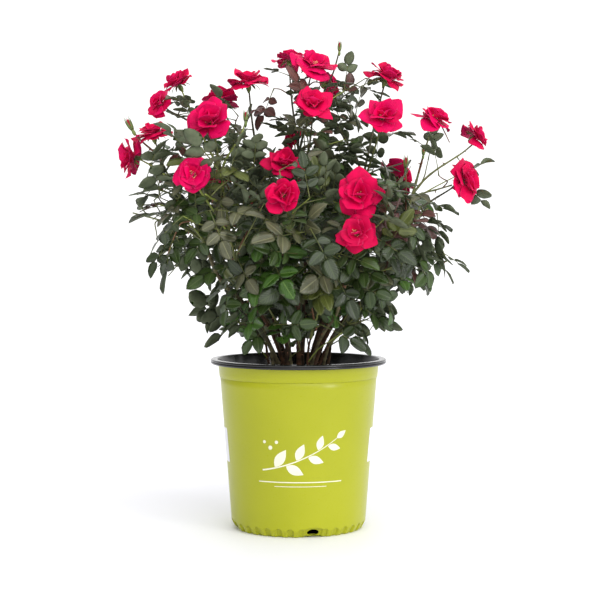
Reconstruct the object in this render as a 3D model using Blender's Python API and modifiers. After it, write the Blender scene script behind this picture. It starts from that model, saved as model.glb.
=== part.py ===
"""A garden rose in bloom, growing in its nursery pot.

Metres, +Z up. The origin is the middle of the pot's flat underside, and the plant's front is -Y.

The pot is a turned plastic shell, filled with potting mix. Twenty canes rise from the mix. Each
one ends at a fork, where a mass of shoots, leaves, buds and flowers takes over: a stem goes on
from the cane, shoots branch off it towards their tips, and leaves stand round every shoot in
turn. A leaf grows only where the air around it is still free, so each mass keeps to itself.
"""

import math

import bmesh
import bpy
import numpy as np
from mathutils import Matrix, Vector

GAP = 0.0003
UP = np.array((0.0, 0.0, 1.0))
MILLIMETRES = 1000.0

# ---------------------------------------------------------------- pot and potting mix
RIM_RADIUS = 0.127
POT_HEIGHT = 0.245
WALL = 0.0025
FLOOR = 0.003
FLOOR_ROUND = 0.003
LIP_HEIGHT = 0.007
LIP_ROUND = 0.0015
LIP_INSET = 0.003
COLLAR_TOP_RADIUS = 0.1166
COLLAR_FOOT = 0.218
COLLAR_STEP = 0.0011
WALL_TOP_RADIUS = 0.1133
WALL_FOOT_RADIUS = 0.0972
WALL_FOOT_HEIGHT = 0.010
FOOT_RADIUS = 0.0905
FOOT_ROUND = 0.001
POT_SIDES = 36
DRAIN_COUNT = 4
DRAIN_FIRST_BEARING = 283.0
DRAIN_WIDTH = 0.024
DRAIN_HEIGHT = 0.013
DRAIN_ARCH = 0.004
DRAIN_DEPTH = 0.018
DRAIN_ARCH_POINTS = 7
SOIL_DEPTH = 0.035
SOIL_SHOULDER = 0.004

# ---------------------------------------------------------------- canes
CANE_POINTS = 6
CANE_FOOT_RADIUS = 0.0042
CANE_FORK_RADIUS = 0.0030
LOW_CANE_FOOT_RADIUS = 0.0036
LOW_CANE_FORK_RADIUS = 0.0022
CANE_FLARE = 1.3
FLARE_HEIGHT = 0.012
INNER_RING = 0.013
OUTER_RING = 0.025
LOW_RING = 0.042
INNER_FORK_REACH = 0.075
CANE_LEAN = 0.10
CANE_RISE = 0.25
LOW_CANE_BEND = 0.5

# ---------------------------------------------------------------- shoots
SEED = 20
SHOOT_POINTS = 6
LEAFY_POINTS = 4
SHOOT_SIDES = 3
CANE_SIDES = 6
STEM_RADIUS = 0.0025
SHOOT_RADIUS = 0.0019
TIP_RADIUS = 0.0012
FORK_ANGLE = math.radians(36.0)
FORK_SPAN = (0.06, 0.80)
FORK_TRIALS = 38
BEND = 0.38
# Low on each upper stem, short leafy shoots fill the middle of the crown: how far up the stem
# they start, as a share of its length, and how far they turn from straight outwards.
SIDE_SHOOTS = ((0.08, 48.0), (0.24, -52.0), (0.42, 20.0))
SIDE_SHOOT_LENGTH = 0.068
SIDE_SHOOT_RISE = math.radians(22.0)
SIDE_SHOOT_TURNS = (0.0, 35.0, -35.0, 70.0, -70.0, 120.0)

# ---------------------------------------------------------------- leaves
LEAF_STEP = 0.050
LEAF_START = 0.016
BARE_NECK = 0.045
LEAF_TURN = math.radians(137.5)
NEXT_TURN = math.radians(31.0)
TRIES = 14
SHRINK = 0.025
LOW_LEAF = 0.094
HIGH_LEAF = 0.066
LEAF_SPREAD = (0.85, 1.10)
LOW_HEIGHT = 0.30
HIGH_HEIGHT = 0.60
STAND = (52.0, 72.0)
DROOP = (0.05, 0.22)
LOW_HANG = 0.55
LOW_LEAN = 0.75
HIGH_LEAN = 0.20
UNEVEN = 0.22
PETIOLE = 0.25
LEAF_KEEL = 0.017
# Along the midrib of a three-part leaf: where the middle and the edges stand, and the half
# width there, each as a share of the leaf's length.
LEAF_STATIONS = np.array((
    (0.00, 0.00, 0.013),
    (0.28, 0.28, 0.015),
    (0.43, 0.50, 0.300),
    (0.57, 0.57, 0.045),
    (0.76, 0.77, 0.190),
))
FLAT_ANGLE = math.radians(0.5)

# ---------------------------------------------------------------- free air
CELL = 0.004
AIR_LOW = np.array((-0.34, -0.30, 0.20))
AIR_SIZE = np.array((0.68, 0.60, 0.56))
POT_MARGIN = 0.005
# The crown is a bowl below: at these heights, leaves stay within these distances of its axis.
BOWL_HEIGHTS = (0.240, 0.300, 0.360, 0.420)
BOWL_RADII = (0.122, 0.160, 0.202, 0.320)
OWN_SHARE = 0.22
FINE_STEP = 0.002
SHOOT_CLEARANCE = 0.0025
CANE_CLEARANCE = 0.003
HEAD_STEP = 0.003

# ---------------------------------------------------------------- what the shoots carry
FLOWER = "flower"
BUD = "bud"
LEAFY = "leafy"
# How deep a shoot's end sits in what it carries, and how tall that is, as shares of its width.
SINK = {FLOWER: 0.15, BUD: 0.5, LEAFY: 0.0}
TALLNESS = {FLOWER: 0.5, BUD: 2.4}
PETALS = 5
# The rings of a flower from the top of its heart to its hip: radius, height, and how far each
# swings out and up at a petal's middle, as shares of half its width.
FLOWER_RINGS = {
    "top": (0.0, 0.16, 0.0, 0.0),
    "heart": (0.46, 0.44, -0.06, -0.08),
    "edge": (0.86, 0.12, 0.14, 0.10),
    "cup": (0.42, -0.22, 0.0, 0.0),
    "hip": (0.0, -0.55, 0.0, 0.0),
}

# One row a bough: its fork, then its tips, the stem's own tip first. A tip is what it carries,
# its place, its width, and the bearing and tilt that it faces, in millimetres and degrees.
# Bearings turn from +X towards +Y.
BOUGHS = {
    "far_left": ((-130, -50, 405), (
        (FLOWER, -205, -50, 568, 59, 230, 75),
        (FLOWER, -239, -20, 534, 63, 190, 5),
        (BUD, -236, -62, 577, 13, 200, 62),
        (LEAFY, -236, -34, 455, 0, 184, 16),
    )),
    "upper_left": ((-70, -10, 400), (
        (FLOWER, -174, 0, 643, 55, 200, 60),
        (FLOWER, -199, -20, 611, 43, 215, 25),
    )),
    "left_front": ((-80, -100, 370), (
        (FLOWER, -121, -100, 580, 69, 255, 35),
        (FLOWER, -142, -160, 505, 51, 270, 15),
        (BUD, -73, -92, 586, 11, 90, 80),
    )),
    "middle_left": ((-40, 40, 420), (
        (FLOWER, -71, -20, 643, 60, 270, 78),
        (FLOWER, -112, 30, 621, 59, 90, 70),
        (FLOWER, -11, 80, 567, 42, 200, 30),
    )),
    "middle": ((10, -25, 415), (
        (FLOWER, -14, 50, 682, 50, 90, 70),
        (FLOWER, 22, -20, 666, 65, 300, 55),
        (FLOWER, 20, -80, 604, 60, 270, 50),
        (BUD, 59, 0, 693, 10, 0, 88),
    )),
    "middle_front": ((0, -90, 340), (
        (FLOWER, -19, -190, 476, 53, 265, 5),
        (FLOWER, -20, -76, 524, 58, 280, 45),
    )),
    "right_front": ((60, -90, 340), (
        (FLOWER, 81, -180, 478, 64, 270, 10),
        (FLOWER, 76, -205, 426, 58, 255, 25),
    )),
    "upper_right": ((70, 0, 400), (
        (FLOWER, 128, 0, 652, 64, 330, 65),
        (FLOWER, 117, -90, 588, 63, 280, 40),
        (FLOWER, 44, 60, 648, 47, 30, 30),
    )),
    "far_right": ((130, -20, 390), (
        (FLOWER, 196, -20, 591, 60, 320, 60),
        (FLOWER, 269, 20, 568, 53, 0, 35),
        (FLOWER, 238, -40, 500, 63, 325, 10),
        (BUD, 151, -60, 524, 12, 270, 85),
        (BUD, 178, -32, 542, 9, 300, 80),
        (LEAFY, 212, -20, 385, 0, 0, 20),
    )),
    "back_left": ((-75, 85, 360), (
        (FLOWER, -130, 150, 500, 58, 130, 35),
        (FLOWER, -70, 195, 455, 60, 110, 20),
        (LEAFY, -165, 100, 430, 0, 150, 20),
    )),
    "back_middle": ((15, 100, 365), (
        (FLOWER, 5, 165, 520, 60, 95, 45),
        (FLOWER, 50, 210, 445, 55, 75, 15),
    )),
    "back_right": ((90, 75, 360), (
        (FLOWER, 150, 135, 512, 60, 40, 35),
        (FLOWER, 110, 190, 465, 58, 60, 20),
        (LEAFY, 190, 85, 420, 0, 30, 20),
    )),
}

# The low boughs stand in the spaces between the outer canes. Each has three leafy shoots: the
# share of that space they turn by, their reach and the height of their tips.
LOW = "low_"
LOW_FORK_REACH = 0.060
LOW_FORK_HEIGHT = 0.278
LOW_TILT = 10.0
LOW_SHOOTS = ((0.0, 0.105, 0.300), (-0.27, 0.118, 0.345), (0.27, 0.112, 0.375))


# ---------------------------------------------------------------- lines and directions
def unit(vector):
    """The vector at length one."""
    return vector / np.linalg.norm(vector)


def heading(bearing, tilt):
    """The unit vector at a bearing and a tilt above the horizon, both in degrees."""
    turn = math.radians(bearing)
    rise = math.radians(tilt)
    return np.array((math.cos(turn) * math.cos(rise), math.sin(turn) * math.cos(rise), math.sin(rise)))


def turned(vector, axis, angle):
    """The vector turned about a unit axis (Rodrigues' formula)."""
    return (vector * math.cos(angle) + np.cross(axis, vector) * math.sin(angle)
            + axis * np.dot(axis, vector) * (1.0 - math.cos(angle)))


def arc(start, leave, end, arrive, count):
    """Points on the smooth curve that leaves and reaches its ends in two given directions."""
    reach = BEND * np.linalg.norm(end - start)
    first = start + reach * leave
    second = end - reach * arrive
    t = np.linspace(0.0, 1.0, count)[:, None]
    s = 1.0 - t
    return s ** 3 * start + 3 * s * s * t * first + 3 * s * t * t * second + t ** 3 * end


def squared(line, travel):
    """The line with its first stretch set straight along its direction of travel."""
    line = line.copy()
    line[1] = line[0] + travel * np.linalg.norm(line[1] - line[0])
    return line


def lengths_along(line):
    """How far along the line each of its points lies."""
    steps = np.linalg.norm(np.diff(line, axis=0), axis=1)
    return np.concatenate(((0.0,), np.cumsum(steps)))


def points_along(line, distances):
    """The places at some distances along a line."""
    run = lengths_along(line)
    return np.stack([np.interp(distances, run, line[:, axis]) for axis in range(3)], axis=-1)


def place_along(line, distance):
    """The place and the direction of travel at a distance along a line."""
    behind, place, ahead = points_along(line, distance + np.array((-CELL, 0.0, CELL)))
    return place, unit(ahead - behind)


def thick_line(line, reach):
    """Points all along a line and a little to each side of it."""
    points = points_along(line, np.arange(0.0, lengths_along(line)[-1], FINE_STEP))
    steps = np.concatenate((np.zeros((1, 3)), np.eye(3), -np.eye(3))) * reach
    return (points[:, None] + steps[None]).reshape(-1, 3)


# ---------------------------------------------------------------- the plan of the plant
class Air:
    """The space round the plant in small cubes, each free or taken by a numbered bough."""

    def __init__(self):
        self.owner = np.zeros(np.ceil(AIR_SIZE / CELL).astype(int), dtype=np.int16)

    def cells(self, points):
        """The cube that each point lies in."""
        cells = np.floor((points - AIR_LOW) / CELL).astype(int)
        return np.clip(cells, 1, np.array(self.owner.shape) - 2)

    def take(self, points, number):
        """Take the free cubes at these points and the free ones next to them."""
        cells = self.cells(points)
        for step in np.ndindex(3, 3, 3):
            x, y, z = (cells + np.array(step) - 1).T
            free = self.owner[x, y, z] == 0
            self.owner[x[free], y[free], z[free]] = number

    def owners(self, points):
        """The owner of the air at each point, 0 where it is free."""
        x, y, z = self.cells(points).T
        return self.owner[x, y, z]

    def open_to(self, points, number):
        """Whether points stay out of the air of every other bough."""
        owners = self.owners(points)
        return not np.any((owners != 0) & (owners != number))

    def fits(self, points, number):
        """Whether points stay out of other boughs and mostly out of their own."""
        return self.open_to(points, number) and np.mean(self.owners(points) == number) < OWN_SHARE


def low_boughs():
    """The low boughs: one in the middle of each space between two outer canes."""
    outer = [(x, y) for (x, y, z), tips in BOUGHS.values()
             if math.hypot(x, y) > INNER_FORK_REACH * MILLIMETRES]
    bearings = sorted(math.degrees(math.atan2(y, x)) % 360.0 for x, y in outer)
    boughs = {}
    for index, bearing in enumerate(bearings):
        space = (bearings[(index + 1) % len(bearings)] - bearing) % 360.0
        middle = bearing + space / 2
        fork = heading(middle, 0) * LOW_FORK_REACH + UP * LOW_FORK_HEIGHT
        tips = []
        for share, reach, height in LOW_SHOOTS:
            facing = middle + share * space
            place = heading(facing, 0) * reach + UP * height
            tips.append((LEAFY, *(place * MILLIMETRES), 0, facing, LOW_TILT))
        boughs[f"{LOW}{index + 1}"] = (fork * MILLIMETRES, tips)
    return boughs


def cane_path(name, fork):
    """A cane's line, from its foot in the mix out to its fork, and its direction there."""
    outward = unit(fork * (1.0, 1.0, 0.0))
    if name.startswith(LOW):
        ring = LOW_RING
    elif math.hypot(fork[0], fork[1]) > INNER_FORK_REACH:
        ring = OUTER_RING
    else:
        ring = INNER_RING
    foot = outward * ring + UP * (POT_HEIGHT - SOIL_DEPTH + GAP)
    bend = LOW_CANE_BEND * outward if name.startswith(LOW) else CANE_RISE * UP
    arrive = unit(unit(fork - foot) + bend)
    line = arc(foot, unit(UP + CANE_LEAN * outward), fork, arrive, CANE_POINTS)
    line = squared(line[::-1], -arrive)[::-1]
    line[1] = foot + UP * FLARE_HEIGHT
    return line, arrive


def fork_distance(stem, tip):
    """How far along the stem a shoot leaves it, to set off towards its tip at the fork angle."""
    distances = np.linspace(*FORK_SPAN, FORK_TRIALS) * lengths_along(stem)[-1]
    misses = []
    for distance in distances:
        place, travel = place_along(stem, distance)
        lean = math.acos(np.clip(np.dot(travel, unit(tip - place)), -1.0, 1.0))
        misses.append(abs(lean - FORK_ANGLE))
    return distances[int(np.argmin(misses))]


def plan_bough(name, number, fork, tips):
    """A bough's cane, its stem, the shoots that branch off it and what they carry."""
    fork = np.array(fork) / MILLIMETRES
    cane, travel = cane_path(name, fork)
    bough = {"name": name, "number": number, "cane": cane, "shoots": [], "heads": [], "leaves": []}
    for kind, x, y, z, width, bearing, tilt in tips:
        head = {"kind": kind, "place": np.array((x, y, z)) / MILLIMETRES,
                "facing": heading(bearing, tilt), "width": width / MILLIMETRES}
        end = head["place"] - SINK[kind] * head["width"] * head["facing"]
        count = LEAFY_POINTS if kind == LEAFY else SHOOT_POINTS
        if bough["shoots"]:
            stem = bough["shoots"][0]["line"]
            start, ahead = place_along(stem, fork_distance(stem, end))
            leave = unit(ahead + unit(end - start))
            radius = SHOOT_RADIUS
        else:
            start = fork + travel * GAP
            leave = travel
            radius = STEM_RADIUS
        lift = 0.0 if kind == LEAFY else 0.4
        line = arc(start, leave, end, unit(head["facing"] + unit(end - start) + lift * UP), count)
        if not bough["shoots"]:
            line = squared(line, travel)
        bough["shoots"].append({"line": line, "radius": radius, "kind": kind})
        if kind != LEAFY:
            bough["heads"].append(head)
    return bough


def add_side_shoots(bough, air):
    """Short leafy shoots low on the stem, each turned until the air it runs through is free."""
    stem = bough["shoots"][0]["line"]
    for share, turn in SIDE_SHOOTS:
        place, travel = place_along(stem, share * lengths_along(stem)[-1])
        outward = unit(place * (1.0, 1.0, 0.0))
        for more in SIDE_SHOOT_TURNS:
            way = turned(outward, UP, math.radians(turn + more))
            way = way * math.cos(SIDE_SHOOT_RISE) + UP * math.sin(SIDE_SHOOT_RISE)
            line = arc(place, unit(travel + way), place + way * SIDE_SHOOT_LENGTH, way, LEAFY_POINTS)
            if air.open_to(thick_line(line, SHOOT_CLEARANCE), bough["number"]):
                bough["shoots"].append({"line": line, "radius": SHOOT_RADIUS, "kind": LEAFY})
                air.take(thick_line(line, 0.0), bough["number"])
                break


def head_points(head):
    """Points that fill the drum a flower or bud takes up."""
    width = head["width"]
    facing = head["facing"]
    across = unit(np.cross(facing, heading(0, 0) + 0.1 * UP))
    over = np.cross(facing, across)
    spans = np.linspace(-0.5, 0.5, 2 + int(width / HEAD_STEP))
    rises = TALLNESS[head["kind"]] * np.linspace(-0.5, 0.5, 2 + int(width / HEAD_STEP))
    a, b, c = (grid.reshape(-1, 1) for grid in np.meshgrid(spans, spans, rises, indexing="ij"))
    round_ones = (np.hypot(a, b) <= 0.5).ravel()
    return (head["place"] + width * (a * across + b * over + c * facing))[round_ones]


def leaf_surface(leaf, u, v):
    """Points of a leaf: u runs along its midrib, v across it from edge to edge."""
    half = np.interp(u, np.append(LEAF_STATIONS[:, 1], 1.0), np.append(LEAF_STATIONS[:, 2], 0.0))
    u = u[:, None]
    run = leaf["root"] + leaf["length"] * (u * leaf["along"] - leaf["droop"] * u * u * leaf["face"])
    return run + leaf["length"] * (half * v)[:, None] * leaf["side"]


def leaf_grid(leaf, start, along, across):
    """An even grid of points over a leaf, from a share of its length to its tip."""
    u, v = np.meshgrid(np.linspace(start, 1.0, along), np.linspace(-1.0, 1.0, across))
    return leaf_surface(leaf, u.ravel(), v.ravel())


def plan_leaf(rng, place, travel, turn, high):
    """A leaf that stands out from a shoot at one turn round it, hanging more the lower it is."""
    guide = unit(np.cross(travel, UP + 0.1 * heading(0, 0)))
    out = turned(guide, travel, turn)
    stand = math.radians(rng.uniform(*STAND))
    along = unit(travel * math.cos(stand) + out * math.sin(stand) - UP * LOW_HANG * (1.0 - high))
    lean = LOW_LEAN + (HIGH_LEAN - LOW_LEAN) * high
    facing = UP * (1.0 - lean) + unit(place * (1.0, 1.0, 0.0)) * lean + rng.normal(0.0, UNEVEN, 3)
    side = unit(np.cross(along, facing))
    length = (LOW_LEAF + (HIGH_LEAF - LOW_LEAF) * high) * rng.uniform(*LEAF_SPREAD)
    return {"root": place, "along": along, "side": side, "face": np.cross(side, along),
            "length": length, "droop": rng.uniform(*DROOP)}


def leaf_fits(leaf, number, air):
    """Whether a leaf hangs above the pot, inside the crown's bowl and in free air."""
    points = leaf_grid(leaf, PETIOLE, 18, 9)
    bowl = np.interp(points[:, 2], BOWL_HEIGHTS, BOWL_RADII)
    inside = np.all(np.hypot(points[:, 0], points[:, 1]) < bowl)
    return inside and points[:, 2].min() > POT_HEIGHT + POT_MARGIN and air.fits(points, number)


def grow_leaves(bough, air):
    """Leaves in turn round each shoot, with one at the very end of each leafy shoot."""
    for order, shoot in enumerate(bough["shoots"]):
        total = lengths_along(shoot["line"])[-1]
        bare = 0.0 if shoot["kind"] == LEAFY else BARE_NECK
        sites = np.arange(LEAF_START, total - bare, LEAF_STEP)
        if shoot["kind"] == LEAFY:
            sites[-1] = total - GAP
        for site, distance in enumerate(sites):
            rng = np.random.default_rng((SEED, bough["number"], order, site))
            place, travel = place_along(shoot["line"], distance)
            high = np.clip((place[2] - LOW_HEIGHT) / (HIGH_HEIGHT - LOW_HEIGHT), 0.0, 1.0)
            for attempt in range(TRIES):
                turn = LEAF_TURN * (site + order) + NEXT_TURN * attempt
                leaf = plan_leaf(rng, place, travel, turn, high)
                leaf["length"] *= 1.0 - SHRINK * attempt
                if leaf_fits(leaf, bough["number"], air):
                    bough["leaves"].append(leaf)
                    air.take(leaf_grid(leaf, PETIOLE, 22, 13), bough["number"])
                    break


def plan_plant():
    """The whole plant: every bough with its cane, shoots, flowers, buds and leaves."""
    rows = {**BOUGHS, **low_boughs()}
    boughs = [plan_bough(name, number, *row) for number, (name, row) in enumerate(rows.items(), 1)]
    air = Air()
    for bough in boughs:
        air.take(thick_line(bough["cane"], CANE_CLEARANCE), len(boughs) + 1)
        for shoot in bough["shoots"]:
            air.take(thick_line(shoot["line"], 0.0), bough["number"])
        for head in bough["heads"]:
            air.take(head_points(head), bough["number"])
    for bough in boughs:
        if not bough["name"].startswith(LOW):
            add_side_shoots(bough, air)
    for bough in boughs:
        grow_leaves(bough, air)
    return boughs


# ---------------------------------------------------------------- materials and meshes
def finish(name, colour, roughness):
    """A plain finish."""
    material = bpy.data.materials.new(name)
    material.use_nodes = True
    shader = material.node_tree.nodes["Principled BSDF"]
    shader.inputs["Base Color"].default_value = (*colour, 1.0)
    shader.inputs["Roughness"].default_value = roughness
    shader.inputs["Metallic"].default_value = 0.0
    return material


def new_object(name, mesh, collection):
    """An object for a mesh, in a collection."""
    mesh.name = name
    thing = bpy.data.objects.new(name, mesh)
    collection.objects.link(thing)
    return thing


def evaluated_mesh(thing):
    """The object's mesh with its modifiers applied."""
    bpy.context.view_layer.update()
    graph = bpy.context.evaluated_depsgraph_get()
    return bpy.data.meshes.new_from_object(thing.evaluated_get(graph))


def welded(mesh):
    """The mesh in triangles, with its seams closed and its faces turned out."""
    work = bmesh.new()
    work.from_mesh(mesh)
    bmesh.ops.remove_doubles(work, verts=work.verts, dist=0.00001)
    bmesh.ops.triangulate(work, faces=work.faces)
    bmesh.ops.recalc_face_normals(work, faces=work.faces)
    work.to_mesh(mesh)
    work.free()
    return mesh


def clear_flat_edges(mesh):
    """Take out the edges that a union leaves inside flat faces."""
    work = bmesh.new()
    work.from_mesh(mesh)
    bmesh.ops.dissolve_limit(work, angle_limit=FLAT_ANGLE, verts=work.verts, edges=work.edges)
    bmesh.ops.triangulate(work, faces=work.faces)
    work.to_mesh(mesh)
    work.free()


def hide_helper(thing):
    """Mark an object as a cutter or a guide."""
    thing.hide_render = True
    thing.display_type = "WIRE"


def mesh_of_curve(thing):
    """A closed mesh of a curve object, which is removed."""
    curve = thing.data
    mesh = welded(evaluated_mesh(thing))
    bpy.data.objects.remove(thing)
    bpy.data.curves.remove(curve)
    return mesh


# ---------------------------------------------------------------- pot and potting mix
def turned_solid(name, profile, collection):
    """A solid turned about Z from a profile that runs down its outer side."""
    mesh = bpy.data.meshes.new(name)
    points = [(radius, 0.0, height) for radius, height in profile]
    mesh.from_pydata(points, [(i, i + 1) for i in range(len(points) - 1)], [])
    thing = new_object(name, mesh, collection)
    screw = thing.modifiers.new("turn", "SCREW")
    screw.steps = POT_SIDES
    screw.render_steps = POT_SIDES
    screw.use_merge_vertices = True
    screw.merge_threshold = 0.00005
    screw.use_normal_calculate = True
    return thing


def pot_profile():
    """Half the pot's section: up the inside, over the lip, down the outside, under the foot."""
    inner_foot = WALL_FOOT_RADIUS - WALL
    inner_top = COLLAR_TOP_RADIUS - WALL + LIP_INSET
    lip_foot = POT_HEIGHT - LIP_HEIGHT
    return [
        (0.0, FLOOR), (inner_foot - FLOOR_ROUND, FLOOR), (inner_foot, FLOOR + FLOOR_ROUND),
        (WALL_TOP_RADIUS - WALL, COLLAR_FOOT - WALL), (inner_top, POT_HEIGHT - LIP_ROUND),
        (inner_top + LIP_ROUND, POT_HEIGHT), (RIM_RADIUS - LIP_ROUND, POT_HEIGHT),
        (RIM_RADIUS, POT_HEIGHT - LIP_ROUND), (RIM_RADIUS, lip_foot + LIP_ROUND),
        (RIM_RADIUS - LIP_ROUND, lip_foot), (COLLAR_TOP_RADIUS, lip_foot),
        (WALL_TOP_RADIUS + COLLAR_STEP, COLLAR_FOOT + COLLAR_STEP), (WALL_TOP_RADIUS, COLLAR_FOOT),
        (WALL_FOOT_RADIUS, WALL_FOOT_HEIGHT), ((WALL_FOOT_RADIUS + 2 * FOOT_RADIUS) / 3, FOOT_ROUND),
        (FOOT_RADIUS, 0.0), (0.0, 0.0),
    ]


def drain_cutter(bearing, cutters):
    """An arched block that opens the pot's wall at its foot."""
    outline = bpy.data.curves.new("drain_outline", "CURVE")
    outline.dimensions = "2D"
    outline.fill_mode = "BOTH"
    outline.extrude = DRAIN_DEPTH / 2
    half = DRAIN_WIDTH / 2
    shoulder = DRAIN_HEIGHT - DRAIN_ARCH
    angles = np.linspace(0.0, math.pi, DRAIN_ARCH_POINTS)
    points = [(-half, -DRAIN_HEIGHT), (half, -DRAIN_HEIGHT)]
    points += [(half * math.cos(angle), shoulder + DRAIN_ARCH * math.sin(angle)) for angle in angles]
    spline = outline.splines.new("POLY")
    spline.points.add(len(points) - 1)
    spline.points.foreach_set("co", [value for x, y in points for value in (x, y, 0.0, 1.0)])
    spline.use_cyclic_u = True
    drawn = bpy.data.objects.new("drain_outline", outline)
    cutters.objects.link(drawn)
    cutter = new_object("drain_cutter", mesh_of_curve(drawn), cutters)
    outward = heading(bearing, 0)
    frame = Matrix((np.cross(UP, outward), UP, outward)).transposed().to_4x4()
    frame.translation = Vector(outward * (FOOT_RADIUS + DRAIN_DEPTH / 2))
    cutter.matrix_world = frame
    hide_helper(cutter)


def make_pot(collection, helpers, material):
    """The pot: a turned shell with an arched drain opening at each quarter of its foot."""
    pot = turned_solid("pot", pot_profile(), collection)
    cutters = bpy.data.collections.new("drain_cutters")
    helpers.children.link(cutters)
    for index in range(DRAIN_COUNT):
        drain_cutter(DRAIN_FIRST_BEARING + index * 360.0 / DRAIN_COUNT, cutters)
    cut = pot.modifiers.new("drains", "BOOLEAN")
    cut.operation = "DIFFERENCE"
    cut.operand_type = "COLLECTION"
    cut.collection = cutters
    pot.data.materials.append(material)


def make_soil(collection, material):
    """The potting mix: a plug that fills the pot to below its rim, clear of the wall."""
    top = POT_HEIGHT - SOIL_DEPTH
    inset = WALL + 2 * GAP
    radius = WALL_FOOT_RADIUS - inset
    foot = FLOOR + FLOOR_ROUND
    shoulder = top - SOIL_SHOULDER
    share = (shoulder - foot) / (COLLAR_FOOT - WALL - foot)
    top_radius = radius + share * (WALL_TOP_RADIUS - WALL_FOOT_RADIUS)
    profile = [(0.0, top), (top_radius, top), (top_radius, shoulder)]
    profile += [(radius, foot), (radius - FLOOR_ROUND, FLOOR + GAP), (0.0, FLOOR + GAP)]
    soil = turned_solid("soil", profile, collection)
    soil.data.materials.append(material)


# ---------------------------------------------------------------- canes and foliage
def ring_section(sides, helpers):
    """A closed outline with a few equal sides, for canes and shoots to follow."""
    outline = bpy.data.curves.new("section", "CURVE")
    outline.dimensions = "2D"
    spline = outline.splines.new("POLY")
    spline.points.add(sides - 1)
    for index, point in enumerate(spline.points):
        angle = 2 * math.pi * index / sides
        point.co = (math.cos(angle), math.sin(angle), 0.0, 1.0)
    spline.use_cyclic_u = True
    section = bpy.data.objects.new("section", outline)
    helpers.objects.link(section)
    hide_helper(section)
    return section


def tapered_tube(name, line, radii, section, collection, material):
    """A tube along a line, with its own radius at each point."""
    curve = bpy.data.curves.new(name, "CURVE")
    curve.dimensions = "3D"
    curve.bevel_mode = "OBJECT"
    curve.bevel_object = section
    curve.use_fill_caps = True
    spline = curve.splines.new("POLY")
    spline.points.add(len(line) - 1)
    for point, place, radius in zip(spline.points, line, radii):
        point.co = (*place, 1.0)
        point.radius = radius
    drawn = bpy.data.objects.new(name, curve)
    collection.objects.link(drawn)
    mesh = mesh_of_curve(drawn)
    mesh.materials.append(material)
    return new_object(name, mesh, collection)


def make_cane(bough, section, collection, material):
    """A cane: flared at its flat foot, tapering to its fork."""
    low = bough["name"].startswith(LOW)
    foot_radius = LOW_CANE_FOOT_RADIUS if low else CANE_FOOT_RADIUS
    fork_radius = LOW_CANE_FORK_RADIUS if low else CANE_FORK_RADIUS
    radii = np.linspace(foot_radius, fork_radius, CANE_POINTS)
    radii[0] *= CANE_FLARE
    cane = tapered_tube(f"cane_{bough['name']}", bough["cane"], radii, section, collection, material)
    cane.data.shade_smooth()


def make_shoot(shoot, section, gather, material):
    """A three-sided shoot that thins towards its tip."""
    radii = np.linspace(shoot["radius"], TIP_RADIUS, len(shoot["line"]))
    return tapered_tube("shoot", shoot["line"], radii, section, gather, material)


def make_leaf(leaf, gather, material):
    """A leaf of three parts: a loft of thin three-cornered sections with a keel below."""
    middles, edges, halves = LEAF_STATIONS.T
    left = leaf_surface(leaf, edges, -np.ones(len(edges)))
    right = leaf_surface(leaf, edges, np.ones(len(edges)))
    keel = leaf_surface(leaf, middles, np.zeros(len(edges))) - LEAF_KEEL * leaf["length"] * leaf["face"]
    tip = leaf_surface(leaf, np.ones(1), np.zeros(1))
    points = np.concatenate((np.stack((left, keel, right), axis=1).reshape(-1, 3), tip))
    last = len(points) - 4
    faces = [(0, 1, 2)]
    for corner in range(3):
        after = (corner + 1) % 3
        for start in range(0, last, 3):
            faces.append((start + corner, start + corner + 3, start + after + 3, start + after))
        faces.append((last + corner, len(points) - 1, last + after))
    mesh = bpy.data.meshes.new("leaf")
    mesh.from_pydata(points.tolist(), [], faces)
    mesh.materials.append(material)
    return new_object("leaf", welded(mesh), gather)


def make_flower(head, gather, material):
    """A flower: five spread petals round a hollow heart, over a hip."""
    work = bmesh.new()
    bmesh.ops.create_uvsphere(work, u_segments=2 * PETALS, v_segments=4, radius=1.0)
    rings = dict(zip((1.0, 0.7, 0.0, -0.7, -1.0), FLOWER_RINGS.values()))
    for vert in work.verts:
        angle = math.atan2(vert.co.y, vert.co.x)
        wave = math.cos(PETALS * angle)
        radius, height, out, up = rings[round(vert.co.z, 1)]
        radius += out * wave
        vert.co = Vector((radius * math.cos(angle), radius * math.sin(angle), height + up * wave))
    return place_head(work, head, (0.5, 0.5, 0.5), gather, material)


def make_bud(head, gather, material):
    """A closed bud: a slim spindle."""
    work = bmesh.new()
    bmesh.ops.create_uvsphere(work, u_segments=PETALS, v_segments=3, radius=1.0)
    return place_head(work, head, (0.5, 0.5, TALLNESS[BUD] / 2), gather, material)


def place_head(work, head, scale, gather, material):
    """Size a flower or bud by its width, turn it the way it faces and put it in its place."""
    turn = Vector((0.0, 0.0, 1.0)).rotation_difference(Vector(head["facing"]))
    sizes = Matrix.Diagonal((*(head["width"] * Vector(scale)), 1.0))
    frame = Matrix.Translation(head["place"]) @ turn.to_matrix().to_4x4() @ sizes
    bmesh.ops.transform(work, matrix=frame, verts=work.verts)
    mesh = bpy.data.meshes.new(head["kind"])
    work.to_mesh(mesh)
    work.free()
    mesh.materials.append(material)
    return new_object(head["kind"], welded(mesh), gather)


def fuse(name, body, gather, collection):
    """One closed body from a piece and the ones that run into it."""
    gather.objects.unlink(body)
    collection.objects.link(body)
    union = body.modifiers.new("fuse", "BOOLEAN")
    union.operation = "UNION"
    union.operand_type = "COLLECTION"
    union.collection = gather
    union.solver = "MANIFOLD"
    union.material_mode = "TRANSFER"
    mesh = evaluated_mesh(body)
    for piece in [*gather.objects, body]:
        bpy.data.objects.remove(piece)
    clear_flat_edges(mesh)
    new_object(name, mesh, collection)


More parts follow.
